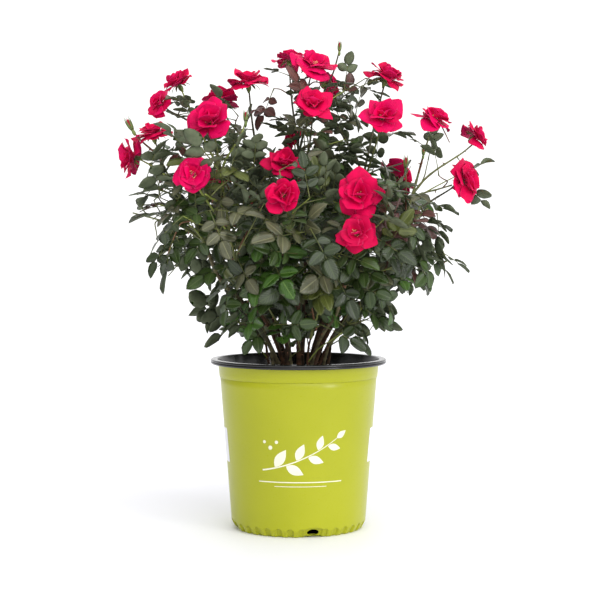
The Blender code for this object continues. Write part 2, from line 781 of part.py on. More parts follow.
def make_foliage(bough, section, collection, helpers, finishes):
    """A bough's mass: its stem with every shoot, flower, bud and leaf fused on."""
    gather = bpy.data.collections.new("gather")
    helpers.children.link(gather)
    shoots = [make_shoot(shoot, section, gather, finishes["leaf"]) for shoot in bough["shoots"]]
    for head in bough["heads"]:
        make = make_flower if head["kind"] == FLOWER else make_bud
        make(head, gather, finishes["petal"])
    for leaf in bough["leaves"]:
        make_leaf(leaf, gather, finishes["leaf"])
    fuse(f"foliage_{bough['name']}", shoots[0], gather, collection)
    bpy.data.collections.remove(gather)


def main():
    """Clear the scene and build the plant in its pot."""
    for thing in list(bpy.data.objects):
        bpy.data.objects.remove(thing)
    plant = bpy.data.collections.new("potted_rose_bush")
    helpers = bpy.data.collections.new("helpers")
    bpy.context.scene.collection.children.link(plant)
    bpy.context.scene.collection.children.link(helpers)
    finishes = {
        "pot": finish("lime_plastic", (0.52, 0.56, 0.06), 0.42),
        "soil": finish("potting_mix", (0.035, 0.024, 0.017), 0.95),
        "cane": finish("cane_bark", (0.115, 0.085, 0.045), 0.75),
        "leaf": finish("leaf_green", (0.035, 0.065, 0.026), 0.5),
        "petal": finish("petal_red", (0.63, 0.004, 0.06), 0.6),
    }
    make_pot(plant, helpers, finishes["pot"])
    make_soil(plant, finishes["soil"])
    cane_section = ring_section(CANE_SIDES, helpers)
    shoot_section = ring_section(SHOOT_SIDES, helpers)
    for bough in plan_plant():
        make_cane(bough, cane_section, plant, finishes["cane"])
        make_foliage(bough, shoot_section, plant, helpers, finishes)
    bpy.data.objects.remove(cane_section)
    bpy.data.objects.remove(shoot_section)


main()
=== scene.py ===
# %% [markdown]
# # A garden rose in bloom, in its nursery pot
# The plant arrives as plain solids: a pot, its potting mix, twenty canes and twenty masses of
# foliage. This lesson dresses them. Each step says what the piece is on the real plant, how it
# could be made, and why this way was chosen. All sizes are in metres, +Z is up, the front is -Y,
# and the origin is the middle of the pot's underside.

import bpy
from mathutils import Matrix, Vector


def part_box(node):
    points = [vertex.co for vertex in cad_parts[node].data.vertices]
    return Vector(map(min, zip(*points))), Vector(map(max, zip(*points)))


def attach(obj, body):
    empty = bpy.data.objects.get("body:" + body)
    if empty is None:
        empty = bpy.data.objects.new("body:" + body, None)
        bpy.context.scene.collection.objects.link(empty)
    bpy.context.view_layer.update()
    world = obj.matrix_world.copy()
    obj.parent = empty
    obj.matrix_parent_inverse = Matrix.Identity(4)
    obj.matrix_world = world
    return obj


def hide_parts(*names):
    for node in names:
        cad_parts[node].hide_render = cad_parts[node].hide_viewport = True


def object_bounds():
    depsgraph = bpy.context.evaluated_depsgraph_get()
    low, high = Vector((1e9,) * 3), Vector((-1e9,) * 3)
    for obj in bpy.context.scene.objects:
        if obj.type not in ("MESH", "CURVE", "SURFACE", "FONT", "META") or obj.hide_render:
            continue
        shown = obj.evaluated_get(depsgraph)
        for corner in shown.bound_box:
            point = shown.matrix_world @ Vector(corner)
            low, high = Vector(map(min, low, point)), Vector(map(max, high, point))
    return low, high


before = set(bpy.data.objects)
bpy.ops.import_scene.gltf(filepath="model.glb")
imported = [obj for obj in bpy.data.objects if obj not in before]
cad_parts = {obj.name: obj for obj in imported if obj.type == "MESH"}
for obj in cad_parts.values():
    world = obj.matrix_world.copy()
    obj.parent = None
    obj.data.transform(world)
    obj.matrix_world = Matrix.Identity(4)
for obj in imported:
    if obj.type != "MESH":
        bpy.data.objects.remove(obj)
solid_box = [list(corner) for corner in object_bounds()]
print("solids:", len(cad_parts), "box:", solid_box)

# %% Modules
import math

import bpy
import numpy as np

SEED = 20
print("every random choice starts from seed", SEED)

# %% [markdown]
# ## Tools: many small surfaces in one mesh
# A rose has thousands of leaflets and petals. One Blender object for each would be slow and
# hard to handle, and so would a loop over their points. Here every shape is a grid of points,
# worked out for all its copies at once as one numpy array, and a Gathering joins any number of
# such grids into one mesh. A closed shape needs its seams shared, so the faces are written as
# indices into the grid: round a tube they wrap, and a leaf's two skins share their rim.

# %% Directions and smooth lines
UP = np.array((0.0, 0.0, 1.0))
FRONT = np.array((0.0, -1.0, 0.0))
# The range of a random angle, in radians.
ANY_TURN = (0.0, 6.28)
ANY_PHASE = (0.0, 6.0)


def unit(vectors):
    """Vectors divided by their lengths."""
    return vectors / np.linalg.norm(vectors, axis=-1, keepdims=True)


def outwards(place):
    """The level direction from the plant's axis to a place."""
    return unit(place * (1.0, 1.0, 0.0))


def all_round(count):
    """Evenly spaced angles that fill a circle."""
    return np.linspace(0.0, 2 * math.pi, count, endpoint=False)


def dice(*numbers):
    """The random draws that belong to these numbers, so that one choice can change alone."""
    return np.random.default_rng((SEED, *numbers))


def heading(bearing, tilt):
    """The unit vector at a bearing from +X towards +Y and a tilt above the horizon, in degrees."""
    turn = math.radians(bearing)
    rise = math.radians(tilt)
    level = math.cos(rise)
    return np.array((math.cos(turn) * level, math.sin(turn) * level, math.sin(rise)))


def turned(vectors, axis, angle):
    """Vectors turned about a unit axis: the part across the axis rotates, the rest stays."""
    angle = np.asarray(angle)[..., None]
    along = np.sum(vectors * axis, axis=-1, keepdims=True) * axis
    return along + (vectors - along) * np.cos(angle) + np.cross(axis, vectors) * np.sin(angle)


def smooth_at(line, steps):
    """Points on the smooth curve through a line's own points: between two of them, a cubic that
    matches the places and slopes at both. A step of 2.5 is halfway from point 2 to point 3."""
    slopes = np.gradient(line, axis=0)
    before = np.clip(np.floor(steps).astype(int), 0, len(line) - 2)
    t = (steps - before)[:, None]
    a, b = line[before], line[before + 1]
    rise, fall = slopes[before], slopes[before + 1]
    square, cube = 3 * (b - a) - 2 * rise - fall, 2 * (a - b) + rise + fall
    return a + rise * t + square * t ** 2 + cube * t ** 3


def smooth_line(line, count):
    """The smooth curve through a line's points, as this many points."""
    return smooth_at(line, np.linspace(0.0, len(line) - 1.0, count))


print("a quarter turn of +X about +Z:", turned(heading(0, 0), UP, math.pi / 2).round(3))

# %% Grids and sheets
def grid_faces(rows, columns, wrap=False):
    """The quads of a grid of points. With wrap, the last column joins the first."""
    index = np.arange(rows * columns).reshape(rows, columns)
    if wrap:
        index = np.concatenate((index, index[:, :1]), axis=1)
    return quads(index)


def quads(index):
    """The quads between neighbours in a grid of indices, facing rows cross columns."""
    corners = (index[:-1, :-1], index[1:, :-1], index[1:, 1:], index[:-1, 1:])
    return np.stack(corners, axis=-1).reshape(-1, 4)


def fan(ring, hub):
    """The triangles from a ring of points to a middle one, facing up if the ring turns left."""
    return np.stack((ring, np.roll(ring, -1), np.full(len(ring), hub)), axis=1)


def sheet(front, thickness):
    """Closed thin sheets from an array of grids (sheets, rows, columns, 3): the back skin lies
    below the front one by the thickness, along the surface's normal, and the rim is shared.
    Returns the points of each sheet, its front faces and its back faces."""
    count, rows, columns, _ = front.shape
    normal = unit(np.cross(np.gradient(front, axis=1), np.gradient(front, axis=2)))
    back = (front - thickness * normal)[:, 1:-1, 1:-1]
    points = np.concatenate((front.reshape(count, -1, 3), back.reshape(count, -1, 3)), axis=1)
    behind = np.arange(rows * columns).reshape(rows, columns)
    inner = np.arange((rows - 2) * (columns - 2)).reshape(rows - 2, -1)
    behind[1:-1, 1:-1] = rows * columns + inner
    return points, grid_faces(rows, columns), quads(behind)[:, ::-1]


def sheet_map(along, across):
    """The flat map of a sheet, the same on both skins: how far across it a point lies, and how
    far along it, from 0 to 1. along runs from 0 to 1 and across from -1 to 1."""
    u, v = np.meshgrid(along, (across + 1.0) / 2.0, indexing="ij")
    front = np.stack((v, u), axis=-1)
    return np.concatenate((front.reshape(-1, 2), front[1:-1, 1:-1].reshape(-1, 2)))


print("quads of a grid of 3 by 4 points:", len(grid_faces(3, 4)))

# %% Tubes
# A line whose ends differ in direction by less than this sine is straight. Its rings are turned
# from a direction square to this odd one, which no line follows.
STRAIGHT = 0.05
ODD_WAY = (0.31, 0.17, 0.06)


def tubes(lines, radii, sides):
    """Closed tubes along an array of lines (tubes, rows, 3). Each ring stands across its line,
    turned from a direction that is square to the line's bend. There is one radius for each row,
    for each row of each tube, or (tubes, rows, sides). Returns the points of each tube, its side
    faces and its two end faces."""
    ahead = unit(np.gradient(lines, axis=1))
    bend = np.cross(ahead[:, 0], ahead[:, -1])
    spare = np.cross(ahead[:, 0], ODD_WAY)
    straight = np.linalg.norm(bend, axis=-1, keepdims=True) < STRAIGHT
    guide = unit(np.where(straight, spare, bend))[:, None]
    first = unit(guide - ahead * np.sum(guide * ahead, axis=-1, keepdims=True))
    second = np.cross(ahead, first)
    turn = all_round(sides)[:, None]
    ring = first[:, :, None] * np.cos(turn) + second[:, :, None] * np.sin(turn)
    if np.ndim(radii) < 3:
        radii = np.broadcast_to(radii, lines.shape[:2])[:, :, None]
    points = (lines[:, :, None] + ring * radii[..., None]).reshape(len(lines), -1, 3)
    walls = grid_faces(lines.shape[1], sides, wrap=True)[:, ::-1]
    ends = np.stack((np.arange(sides)[::-1], np.arange(sides) + (lines.shape[1] - 1) * sides))
    return points, walls, ends


straight_up = np.linspace(0.0, 0.1, 5)[None, :, None] * UP
print("points of a tube of 5 rings of 6:", tubes(straight_up, np.full(5, 0.01), 6)[0].shape)

# %% Gather grids into a piece
def placed(name, data):
    """A new object in the scene that shows this mesh, lamp or camera."""
    thing = bpy.data.objects.new(name, data)
    bpy.context.scene.collection.objects.link(thing)
    return thing


class Gathering:
    """Points and faces of many surfaces, which become one mesh with several finishes."""

    def __init__(self):
        self.points, self.faces, self.finishes, self.maps = [], [], [], []
        self.count = 0

    def add(self, points, *skins, uv=None):
        """Add copies of a surface: points (copies, points each, 3), and for each skin its faces
        and its finish's number, one for all or one for each copy."""
        copies, each = points.shape[:2]
        starts = self.count + each * np.arange(copies)
        for faces, finish in skins:
            self.faces.append((faces[None] + starts[:, None, None]).reshape(-1, faces.shape[1]))
            self.finishes.append(np.repeat(np.broadcast_to(finish, copies), len(faces)))
        self.points.append(points.reshape(-1, 3))
        flat = np.zeros((each, 2)) if uv is None else uv
        self.maps.append(np.broadcast_to(flat, (copies, each, 2)).reshape(-1, 2))
        self.count += copies * each

    def add_tubes(self, lines, radii, sides, finish):
        """Add tubes, in one finish or in one for each tube."""
        points, walls, ends = tubes(lines, radii, sides)
        self.add(points, (walls, finish), (ends, finish))

    def add_sheets(self, front, thickness, above, below, uv=None):
        """Add closed sheets, with a finish for the front skins and one for the back skins."""
        points, upper, lower = sheet(front, thickness)
        self.add(points, (upper, above), (lower, below), uv=uv)

    def piece(self, name, materials, nodes, smooth=True):
        """The mesh object, riding on the plant and standing in for its solids."""
        points = np.concatenate(self.points)
        corners = np.concatenate([faces.ravel() for faces in self.faces])
        sizes = np.concatenate([np.full(len(faces), faces.shape[1]) for faces in self.faces])
        mesh = bpy.data.meshes.new(name)
        mesh.vertices.add(len(points))
        mesh.vertices.foreach_set("co", points.ravel())
        mesh.loops.add(len(corners))
        mesh.loops.foreach_set("vertex_index", corners)
        mesh.polygons.add(len(sizes))
        mesh.polygons.foreach_set("loop_start", np.cumsum(sizes) - sizes)
        mesh.polygons.foreach_set("material_index", np.concatenate(self.finishes))
        mesh.update(calc_edges=True)
        surface = np.concatenate(self.maps)[corners]
        mesh.uv_layers.new(name="surface").data.foreach_set("uv", surface.ravel())
        for material in materials:
            mesh.materials.append(material)
        if smooth:
            mesh.shade_smooth()
        else:
            mesh.shade_flat()
        thing = placed(name, mesh)
        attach(thing, "root")
        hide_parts(*nodes)
        print(name, "points", len(points), "triangles", int(np.sum(sizes - 2)))
        return thing


# %% [markdown]
# ## Camera, light and floor
# The plant stands on a pale floor in an even white studio. A white world gives the wrap-round
# light of a light tent. It is much dimmer far to the left and a little dimmer far to the right,
# which rounds the pot. Two lamps shine from the front right: a broad key from high up, and a
# narrow strip from low down, which draws a soft bright band down the plastic. Both are suns with
# a wide angle, because a sun lights the floor evenly all the way back, so floor and backdrop
# meet without a line.

# %% Camera
CAMERA_PLACE = (0.0022, -2.30, 0.427)
CAMERA_TILT = -2.43
CAMERA_LENS = 95.4

view = bpy.data.cameras.new("camera")
view.lens = CAMERA_LENS
view.sensor_width = 36.0
camera = placed("camera", view)
camera.location = CAMERA_PLACE
camera.rotation_euler = (math.radians(90.0 + CAMERA_TILT), 0.0, 0.0)
bpy.context.scene.camera = camera
print("camera", round(-CAMERA_PLACE[1], 2), "m in front, lens", CAMERA_LENS, "mm")

# %% Node helpers
def node(tree, kind, inputs=None, **settings):
    """A new node. An input is a value, or the output socket that it is linked to."""
    made = tree.nodes.new(kind)
    for name, value in settings.items():
        setattr(made, name, value)
    for name, value in (inputs or {}).items():
        if isinstance(value, bpy.types.NodeSocket):
            tree.links.new(value, made.inputs[name])
        else:
            made.inputs[name].default_value = value
    return made


def maths(tree, operation, first, *second):
    """The outcome of a sum, product or other operation on one value or two."""
    inputs = dict(enumerate((first, *second)))
    return node(tree, "ShaderNodeMath", inputs, operation=operation).outputs[0]


def ranged(tree, value, before, after):
    """A value carried evenly from one range to another, and held at the ends of both."""
    ends = zip(("From Min", "From Max", "To Min", "To Max"), (*before, *after))
    return node(tree, "ShaderNodeMapRange", {"Value": value, **dict(ends)}).outputs["Result"]


print("node helpers: node, maths, ranged")

# %% Light
# The world's strength, and its shares far to the left and far to the right.
WORLD_LIGHT = 1.24
WORLD_LEFT = 0.27
WORLD_RIGHT = 0.74
# The world is even up to this far sideways.
EVEN_WORLD = 0.24
# Each lamp: bearing and height that it shines from in degrees, strength and width in degrees.
LAMPS = {"key": (-70.0, 46.0, 0.95, 50.0), "strip": (-42.0, 14.0, 0.70, 16.0)}

world = bpy.data.worlds.new("studio")
world.use_nodes = True
tree = world.node_tree
backdrop = tree.nodes["Background"]
backdrop.inputs["Color"].default_value = (1.0, 1.0, 1.0, 1.0)
view_way = node(tree, "ShaderNodeTexCoord").outputs["Generated"]
sideways = node(tree, "ShaderNodeSeparateXYZ", {"Vector": view_way}).outputs["X"]
strength = WORLD_LIGHT
for edge, end, level in ((-EVEN_WORLD, -1.0, WORLD_LEFT), (EVEN_WORLD, 1.0, WORLD_RIGHT)):
    share = ranged(tree, sideways, (edge, end), (1.0, level))
    strength = maths(tree, "MULTIPLY", strength, share)
tree.links.new(strength, backdrop.inputs["Strength"])
bpy.context.scene.world = world
bpy.context.scene.view_settings.view_transform = "Standard"
for name, (bearing, height, power, width) in LAMPS.items():
    lamp = bpy.data.lights.new(name, "SUN")
    lamp.energy = power
    lamp.angle = math.radians(width)
    light = placed(name, lamp)
    light.rotation_euler = (math.radians(90.0 - height), 0.0, math.radians(bearing + 90.0))
print("lamps", list(LAMPS))

# %% Finishes
# A noise keeps near its middle: this part of its range is stretched to the whole.
NOISE_RANGE = (0.3, 0.7)
FULL = (0.0, 1.0)


def linear(colour):
    """A colour given as red, green and blue, 0 to 255 on screen, as the linear colour that
    shaders work in."""
    screen = np.array(colour) / 255.0
    return (*np.where(screen <= 0.04045, screen / 12.92, ((screen + 0.055) / 1.055) ** 2.4), 1.0)


def new_finish(name, roughness, specular):
    """A material with its shader's own roughness and specular level set."""
    material = bpy.data.materials.new(name)
    material.use_nodes = True
    shader = material.node_tree.nodes["Principled BSDF"]
    shader.inputs["Roughness"].default_value = roughness
    shader.inputs["Specular IOR Level"].default_value = specular
    return material, material.node_tree, shader


def noise(tree, place, scale, detail):
    """A noise over a place, with this many blots a metre."""
    inputs = {"Vector": place, "Scale": scale, "Detail": detail}
    return node(tree, "ShaderNodeTexNoise", inputs).outputs["Fac"]


def mix(tree, amount, first, second):
    """A blend of two colours."""
    inputs = {0: amount, 6: first, 7: second}
    return node(tree, "ShaderNodeMix", inputs, data_type="RGBA").outputs[2]


def add_bump(tree, shader, height, **inputs):
    """Let a height raise the surface, over a distance and with a strength."""
    bump = node(tree, "ShaderNodeBump", {"Height": height, **inputs})
    tree.links.new(bump.outputs["Normal"], shader.inputs["Normal"])


def mottled(name, dark, light, patch, grain, rough, depth, specular=0.5):
    """A finish that wanders between two colours over patches, with a finer grain that raises
    the surface by depth and changes its roughness. patch and grain are per metre."""
    material, tree, shader = new_finish(name, rough[0], specular)
    place = node(tree, "ShaderNodeTexCoord").outputs["Object"]
    broad = noise(tree, place, patch, 4.0)
    fine = noise(tree, place, grain, 3.0)
    colour = mix(tree, ranged(tree, broad, NOISE_RANGE, FULL), linear(dark), linear(light))
    tree.links.new(colour, shader.inputs["Base Color"])
    tree.links.new(ranged(tree, fine, NOISE_RANGE, rough), shader.inputs["Roughness"])
    add_bump(tree, shader, fine, Distance=depth)
    return material


print("mid grey is linear", round(float(linear((128, 128, 128))[0]), 4))

# %% Floor
FLOOR_SIZE = 12.0

edge = FLOOR_SIZE / 2
paper = bpy.data.meshes.new("floor")
paper.from_pydata([(-edge, -edge, 0), (edge, -edge, 0), (edge, edge, 0), (-edge, edge, 0)], [],
                  [(0, 1, 2, 3)])
paper.materials.append(mottled("floor_paper", (248, 248, 253), (250, 250, 255), 6.0, 900.0,
                               (0.6, 0.7), 0.00002))
floor = placed("floor", paper)
print("floor", FLOOR_SIZE, "m square")

# %% [markdown]
# ## The pot
# A nursery pot is blown from two layers of plastic: a coloured skin outside and a black one
# inside, which also covers the rolled rim. It is a turned shape, so its wall is a section
# carried round the axis. Its foot isn't quite turned: small arched flutes stiffen it, and at
# each quarter a shallow recess holds a drain hole. On a grid, both are a change of radius that
# depends on the bearing and the height. The holes are cut afterwards by a Boolean.

# %% Pot sizes and the wall
pot_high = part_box("pot")[1]
RIM_RADIUS = pot_high.x
POT_HEIGHT = pot_high.z
WALL = 0.0025
COLLAR_TOP_RADIUS = 0.1166
COLLAR_FOOT = 0.218
WALL_TOP_RADIUS = 0.1133
# The wall from the ground up: its edge, the end of the slope there, and where the taper starts.
FOOT_RADIUS = 0.0905
EDGE_RADIUS = FOOT_RADIUS + 0.0022
EDGE_HEIGHT = 0.0015
WALL_FOOT_RADIUS = 0.0972
WALL_FOOT_HEIGHT = 0.010


def wall_radius(height):
    """The outer radius of the wall: a short slope at the foot, then a straight taper."""
    heights = (0.0, EDGE_HEIGHT, WALL_FOOT_HEIGHT, COLLAR_FOOT)
    return np.interp(height, heights, (FOOT_RADIUS, EDGE_RADIUS, WALL_FOOT_RADIUS, WALL_TOP_RADIUS))


print("pot radius", round(RIM_RADIUS, 4), "height", round(POT_HEIGHT, 4))

# %% Dents in its foot
FLUTES = 36
FLUTE_HALF = 0.0048
FLUTE_HEIGHT = 0.0125
FLUTE_DEPTH = 0.0032
DRAINS = 4
DRAIN_BEARING = math.radians(283.0)
DRAIN_HALF = 0.0140
DRAIN_HEIGHT = 0.0145
DRAIN_DEPTH = 0.0052
# How far an arch's top falls to its sides, and the width of its soft edge.
ARCH_RISE = 0.003
ARCH_EDGE = 0.0008


def ramp(distance):
    """0 where the distance is negative, rising smoothly to 1 over an arch's edge."""
    t = np.clip(distance / ARCH_EDGE, 0.0, 1.0)
    return t * t * (3.0 - 2.0 * t)


def arch(across, height, half, top):
    """1 inside an arch that stands on the floor, 0 outside: half wide each way, its top falling
    towards its sides by the square of the way there, with soft edges."""
    ceiling = top - ARCH_RISE * (across / half) ** 2
    return ramp(half - np.abs(across)) * ramp(ceiling - height)


def round_offset(bearing, count):
    """The distance round the foot from the nearest of some evenly spaced places."""
    pitch = 2 * math.pi / count
    return ((bearing - DRAIN_BEARING + pitch / 2) % pitch - pitch / 2) * WALL_FOOT_RADIUS


def foot_dent(bearing, height):
    """How far the foot is pushed in: the deeper of the flutes and the drain recesses."""
    beside_drain = round_offset(bearing, DRAINS)
    across = round_offset(bearing, FLUTES)
    flutes = FLUTE_DEPTH * arch(across, height, FLUTE_HALF, FLUTE_HEIGHT)
    drains = DRAIN_DEPTH * arch(beside_drain, height, DRAIN_HALF, DRAIN_HEIGHT)
    return np.maximum(flutes * ramp(np.abs(beside_drain) - DRAIN_HALF), drains)


print("deepest dent", foot_dent(DRAIN_BEARING, 0.004), "m")

# %% The outer side of its section
# Each side of the section is a list of points, a radius and a height.
ROW_STEP = 0.0008
DENTED_HEIGHT = FLUTE_HEIGHT + 0.004
PLAIN_HEIGHT = 0.020
PLAIN_ROWS = 22
COLLAR_STEP = 0.0011
LIP_HEIGHT = 0.007
LIP_ROUND = 0.0020
LIP_INNER_ROUND = 0.0015
LINING_TOP_RADIUS = COLLAR_TOP_RADIUS + 0.0005


def corner(centre, radius, start, end, count):
    """Points on a round corner of the section, from one angle to another in degrees."""
    angle = np.radians(np.linspace(start, end, count))
    return np.array(centre) + radius * np.stack((np.cos(angle), np.sin(angle)), axis=1)


foot_rows = np.arange(0.0, DENTED_HEIGHT, ROW_STEP)
outside = np.concatenate((foot_rows, np.linspace(PLAIN_HEIGHT, COLLAR_FOOT, PLAIN_ROWS)))
outside = np.stack((wall_radius(outside), outside), axis=1)
collar_start = WALL_TOP_RADIUS + COLLAR_STEP
lip_foot = POT_HEIGHT - LIP_HEIGHT
# The collar: a fine groove, a step out, and a belly that draws in under the lip.
collar = np.array((
    (WALL_TOP_RADIUS - 0.0004, COLLAR_FOOT + 0.0004),
    (WALL_TOP_RADIUS - 0.0003, COLLAR_FOOT + 0.0008),
    (collar_start - 0.0003, COLLAR_FOOT + 0.0010),
    (collar_start, COLLAR_FOOT + 0.0013), (collar_start + 0.0007, COLLAR_FOOT + 0.008),
    (COLLAR_TOP_RADIUS - 0.0005, lip_foot - 0.0012), (COLLAR_TOP_RADIUS, lip_foot)))
# The rolled lip: two beads with a groove between them, and a small round into the lining.
lip_in = RIM_RADIUS - LIP_ROUND
lip = np.concatenate((
    corner((lip_in, lip_foot + LIP_ROUND), LIP_ROUND, -90, 50, 7),
    corner((lip_in, POT_HEIGHT - LIP_ROUND), LIP_ROUND, -50, 90, 8),
    corner((LINING_TOP_RADIUS + LIP_INNER_ROUND, POT_HEIGHT - LIP_INNER_ROUND), LIP_INNER_ROUND,
           90, 180, 4)))
print("points up the outer side", len(outside) + len(collar) + len(lip))

# %% Its lining and underside
FLOOR_THICKNESS = 0.003
LINING_TOP = 0.232
LINING_ROWS = 12
FLOOR_RADIUS = 0.084
MIDDLE_RADIUS = 0.03
GROUND_RINGS = (0.012, 0.006)

lining_rows = np.concatenate((np.linspace(LINING_TOP, PLAIN_HEIGHT, LINING_ROWS), foot_rows[::-1]))
lining_rows = lining_rows[lining_rows > FLOOR_THICKNESS + 0.001]
lining = np.stack((wall_radius(lining_rows) - WALL, lining_rows), axis=1)
in_collar = lining_rows > COLLAR_FOOT
lining[in_collar, 0] = np.interp(
    lining_rows[in_collar], (COLLAR_FOOT, POT_HEIGHT), (WALL_TOP_RADIUS - WALL, LINING_TOP_RADIUS))
inner_floor = np.array(((FLOOR_RADIUS, FLOOR_THICKNESS), (MIDDLE_RADIUS, FLOOR_THICKNESS)))
under = np.array(((MIDDLE_RADIUS, 0.0), *((FOOT_RADIUS - inset, 0.0) for inset in GROUND_RINGS)))
section = np.concatenate((under, outside, collar, lip, lining, inner_floor))
black_from = len(under) + len(outside) + len(collar) - 1
print("points of the section", len(section), "black from", black_from)

# %% Pot mesh
POT_TURNS = 720
# Inside this radius the pot is truly turned. At a recess, the ground edge is lifted a little.
ROUND_INSIDE = 0.08
DRAIN_LIFT = 0.0022

bearings = all_round(POT_TURNS)
radius, height = section[:, :1], section[:, 1:]
dented = radius > ROUND_INSIDE
lifted = DRAIN_LIFT * ramp(DRAIN_HALF - np.abs(round_offset(bearings, DRAINS)))
radius = radius - foot_dent(bearings[None], height) * dented
height = np.where(dented, np.maximum(height, lifted), height)
shell = np.stack((radius * np.cos(bearings), radius * np.sin(bearings), height), axis=-1)
walls = grid_faces(len(section), POT_TURNS, wrap=True)[:, ::-1]
lime = walls[:black_from * POT_TURNS]
black = walls[black_from * POT_TURNS:]
# Two middle points close the underside and the inner floor with fans of triangles.
middle = np.array(((0.0, 0.0, 0.0), (0.0, 0.0, FLOOR_THICKNESS)))
ring = np.arange(POT_TURNS)
last_ring = ring + (len(section) - 1) * POT_TURNS
hub = len(section) * POT_TURNS
under_fan = fan(ring, hub)[:, (1, 0, 2)]
floor_fan = fan(last_ring, hub + 1)

lime_plastic = mottled("lime_plastic", (160, 164, 9), (168, 171, 17), 9.0, 700.0,
                       (0.27, 0.34), 0.00003, 0.42)
black_plastic = mottled("black_plastic", (6, 6, 6), (12, 12, 11), 25.0, 600.0,
                        (0.13, 0.21), 0.00004, 0.6)
body = Gathering()
body.add(np.concatenate((shell.reshape(-1, 3), middle))[None], (lime, 0), (black, 1),
         (under_fan, 0), (floor_fan, 1))
pot = body.piece("pot_shell", [lime_plastic, black_plastic], ["pot"])

# %% Drain holes
HOLE_HALF_WIDTH = 0.0085
HOLE_HALF_HEIGHT = 0.0046
HOLE_CENTRE = 0.0072
HOLE_LENGTH = 0.030
HOLE_SIDES = 28

turn = all_round(HOLE_SIDES)[:, None]
cutters = []
for index in range(DRAINS):
    outward = heading(math.degrees(DRAIN_BEARING + index * 2 * math.pi / DRAINS), 0)
    across = np.cross(UP, outward)
    oval = HOLE_HALF_WIDTH * np.cos(turn) * across + HOLE_HALF_HEIGHT * np.sin(turn) * UP
    start = outward * (WALL_FOOT_RADIUS - HOLE_LENGTH / 2) + UP * HOLE_CENTRE
    cutters.append(np.stack((start + oval, start + outward * HOLE_LENGTH + oval)))
side = np.arange(HOLE_SIDES)
faces_of_one = [*grid_faces(2, HOLE_SIDES, wrap=True)[:, ::-1], side[::-1], side + HOLE_SIDES]
cutter_faces = [(face + index * 2 * HOLE_SIDES).tolist()
                for index in range(DRAINS) for face in faces_of_one]
cutter_mesh = bpy.data.meshes.new("drain_cutter")
cutter_mesh.from_pydata(np.array(cutters).reshape(-1, 3).tolist(), [], cutter_faces)
cutter = placed("drain_cutter", cutter_mesh)
cut = pot.modifiers.new("drains", "BOOLEAN")
cut.operation = "DIFFERENCE"
cut.object = cutter
bpy.context.view_layer.update()
holed = bpy.data.meshes.new_from_object(pot.evaluated_get(bpy.context.evaluated_depsgraph_get()))
pot.modifiers.clear()
pot.data = holed
bpy.data.objects.remove(cutter)
print("pot faces with drain holes", len(holed.polygons))

# %% [markdown]
# ## Print and stickers on the pot
# The wall carries a pale print on its front and a blank white sticker at each side. Both are
# very thin skins that follow the wall: a flat shape is drawn with its width measured round the
# pot and its height up it, and then bent onto the wall, a hair outside the plastic. The print is
# plain decoration, a sprig over two rules. A picture on the wall would need an image file.

# %% Bend a flat shape onto the wall
SKIN = 0.00012
PROUD = 0.00018
FRONT_BEARING = math.radians(270.0)
RIBBON_COLUMNS = 5


def on_wall(across, height, bearing=FRONT_BEARING):
    """Points on the wall, from distances round it and heights: the distance is an angle times
    the wall's radius there."""
    radius = wall_radius(height) + PROUD
    angle = bearing + across / wall_radius(height)
    return np.stack((radius * np.cos(angle), radius * np.sin(angle), height + 0.0 * angle), axis=-1)


def ribbon(middle, widths):
    """A flat ribbon along a line of (across, height) points, as rows of points across it."""
    ahead = unit(np.gradient(middle, axis=0))
    beside = np.stack((-ahead[:, 1], ahead[:, 0]), axis=1)
    v = np.linspace(1.0, -1.0, RIBBON_COLUMNS)[None, :, None]
    return middle[:, None] + v * (np.asarray(widths)[:, None, None] / 2) * beside[:, None]


print("skins stand", PROUD, "m off the wall")

# %% The sprig's stem
SPRIG_FOOT = (-0.052, 0.096)
SPRIG_TIP = (0.058, 0.142)
SPRIG_RISE = 0.030
SPRIG_ROWS = 24
SPRIG_WIDTH = (0.0022, 0.0009)

t = np.linspace(0.0, 1.0, SPRIG_ROWS)[:, None]
sprig = np.array(SPRIG_FOOT) + t * (np.array(SPRIG_TIP) - SPRIG_FOOT)
sprig = sprig + np.array((0.0, -SPRIG_RISE)) * (t * (1.0 - t))
ribbons = [ribbon(sprig, np.linspace(*SPRIG_WIDTH, SPRIG_ROWS))]
print("sprig from", sprig[0].round(3), "to", sprig[-1].round(3))

# %% Its leaves
# Each leaf: its share along the stem and the side that it turns to, 0 at the tip.
PRINT_LEAVES = ((0.16, 1), (0.30, -1), (0.44, 1), (0.58, -1), (0.72, 1), (0.84, -1), (0.985, 0))
PRINT_LEAF_LENGTH = (0.031, 0.017)
PRINT_LEAF_ROWS = 15
PRINT_LEAF_HALF = 0.24
PRINT_LEAF_ANGLE = math.radians(44.0)
# Below 1 this makes a leaf widest before its middle.
PRINT_LEAF_POWER = 0.85
PRINT_LEAF_OFFSET = 0.0022
THINNEST_PRINT = 0.0004


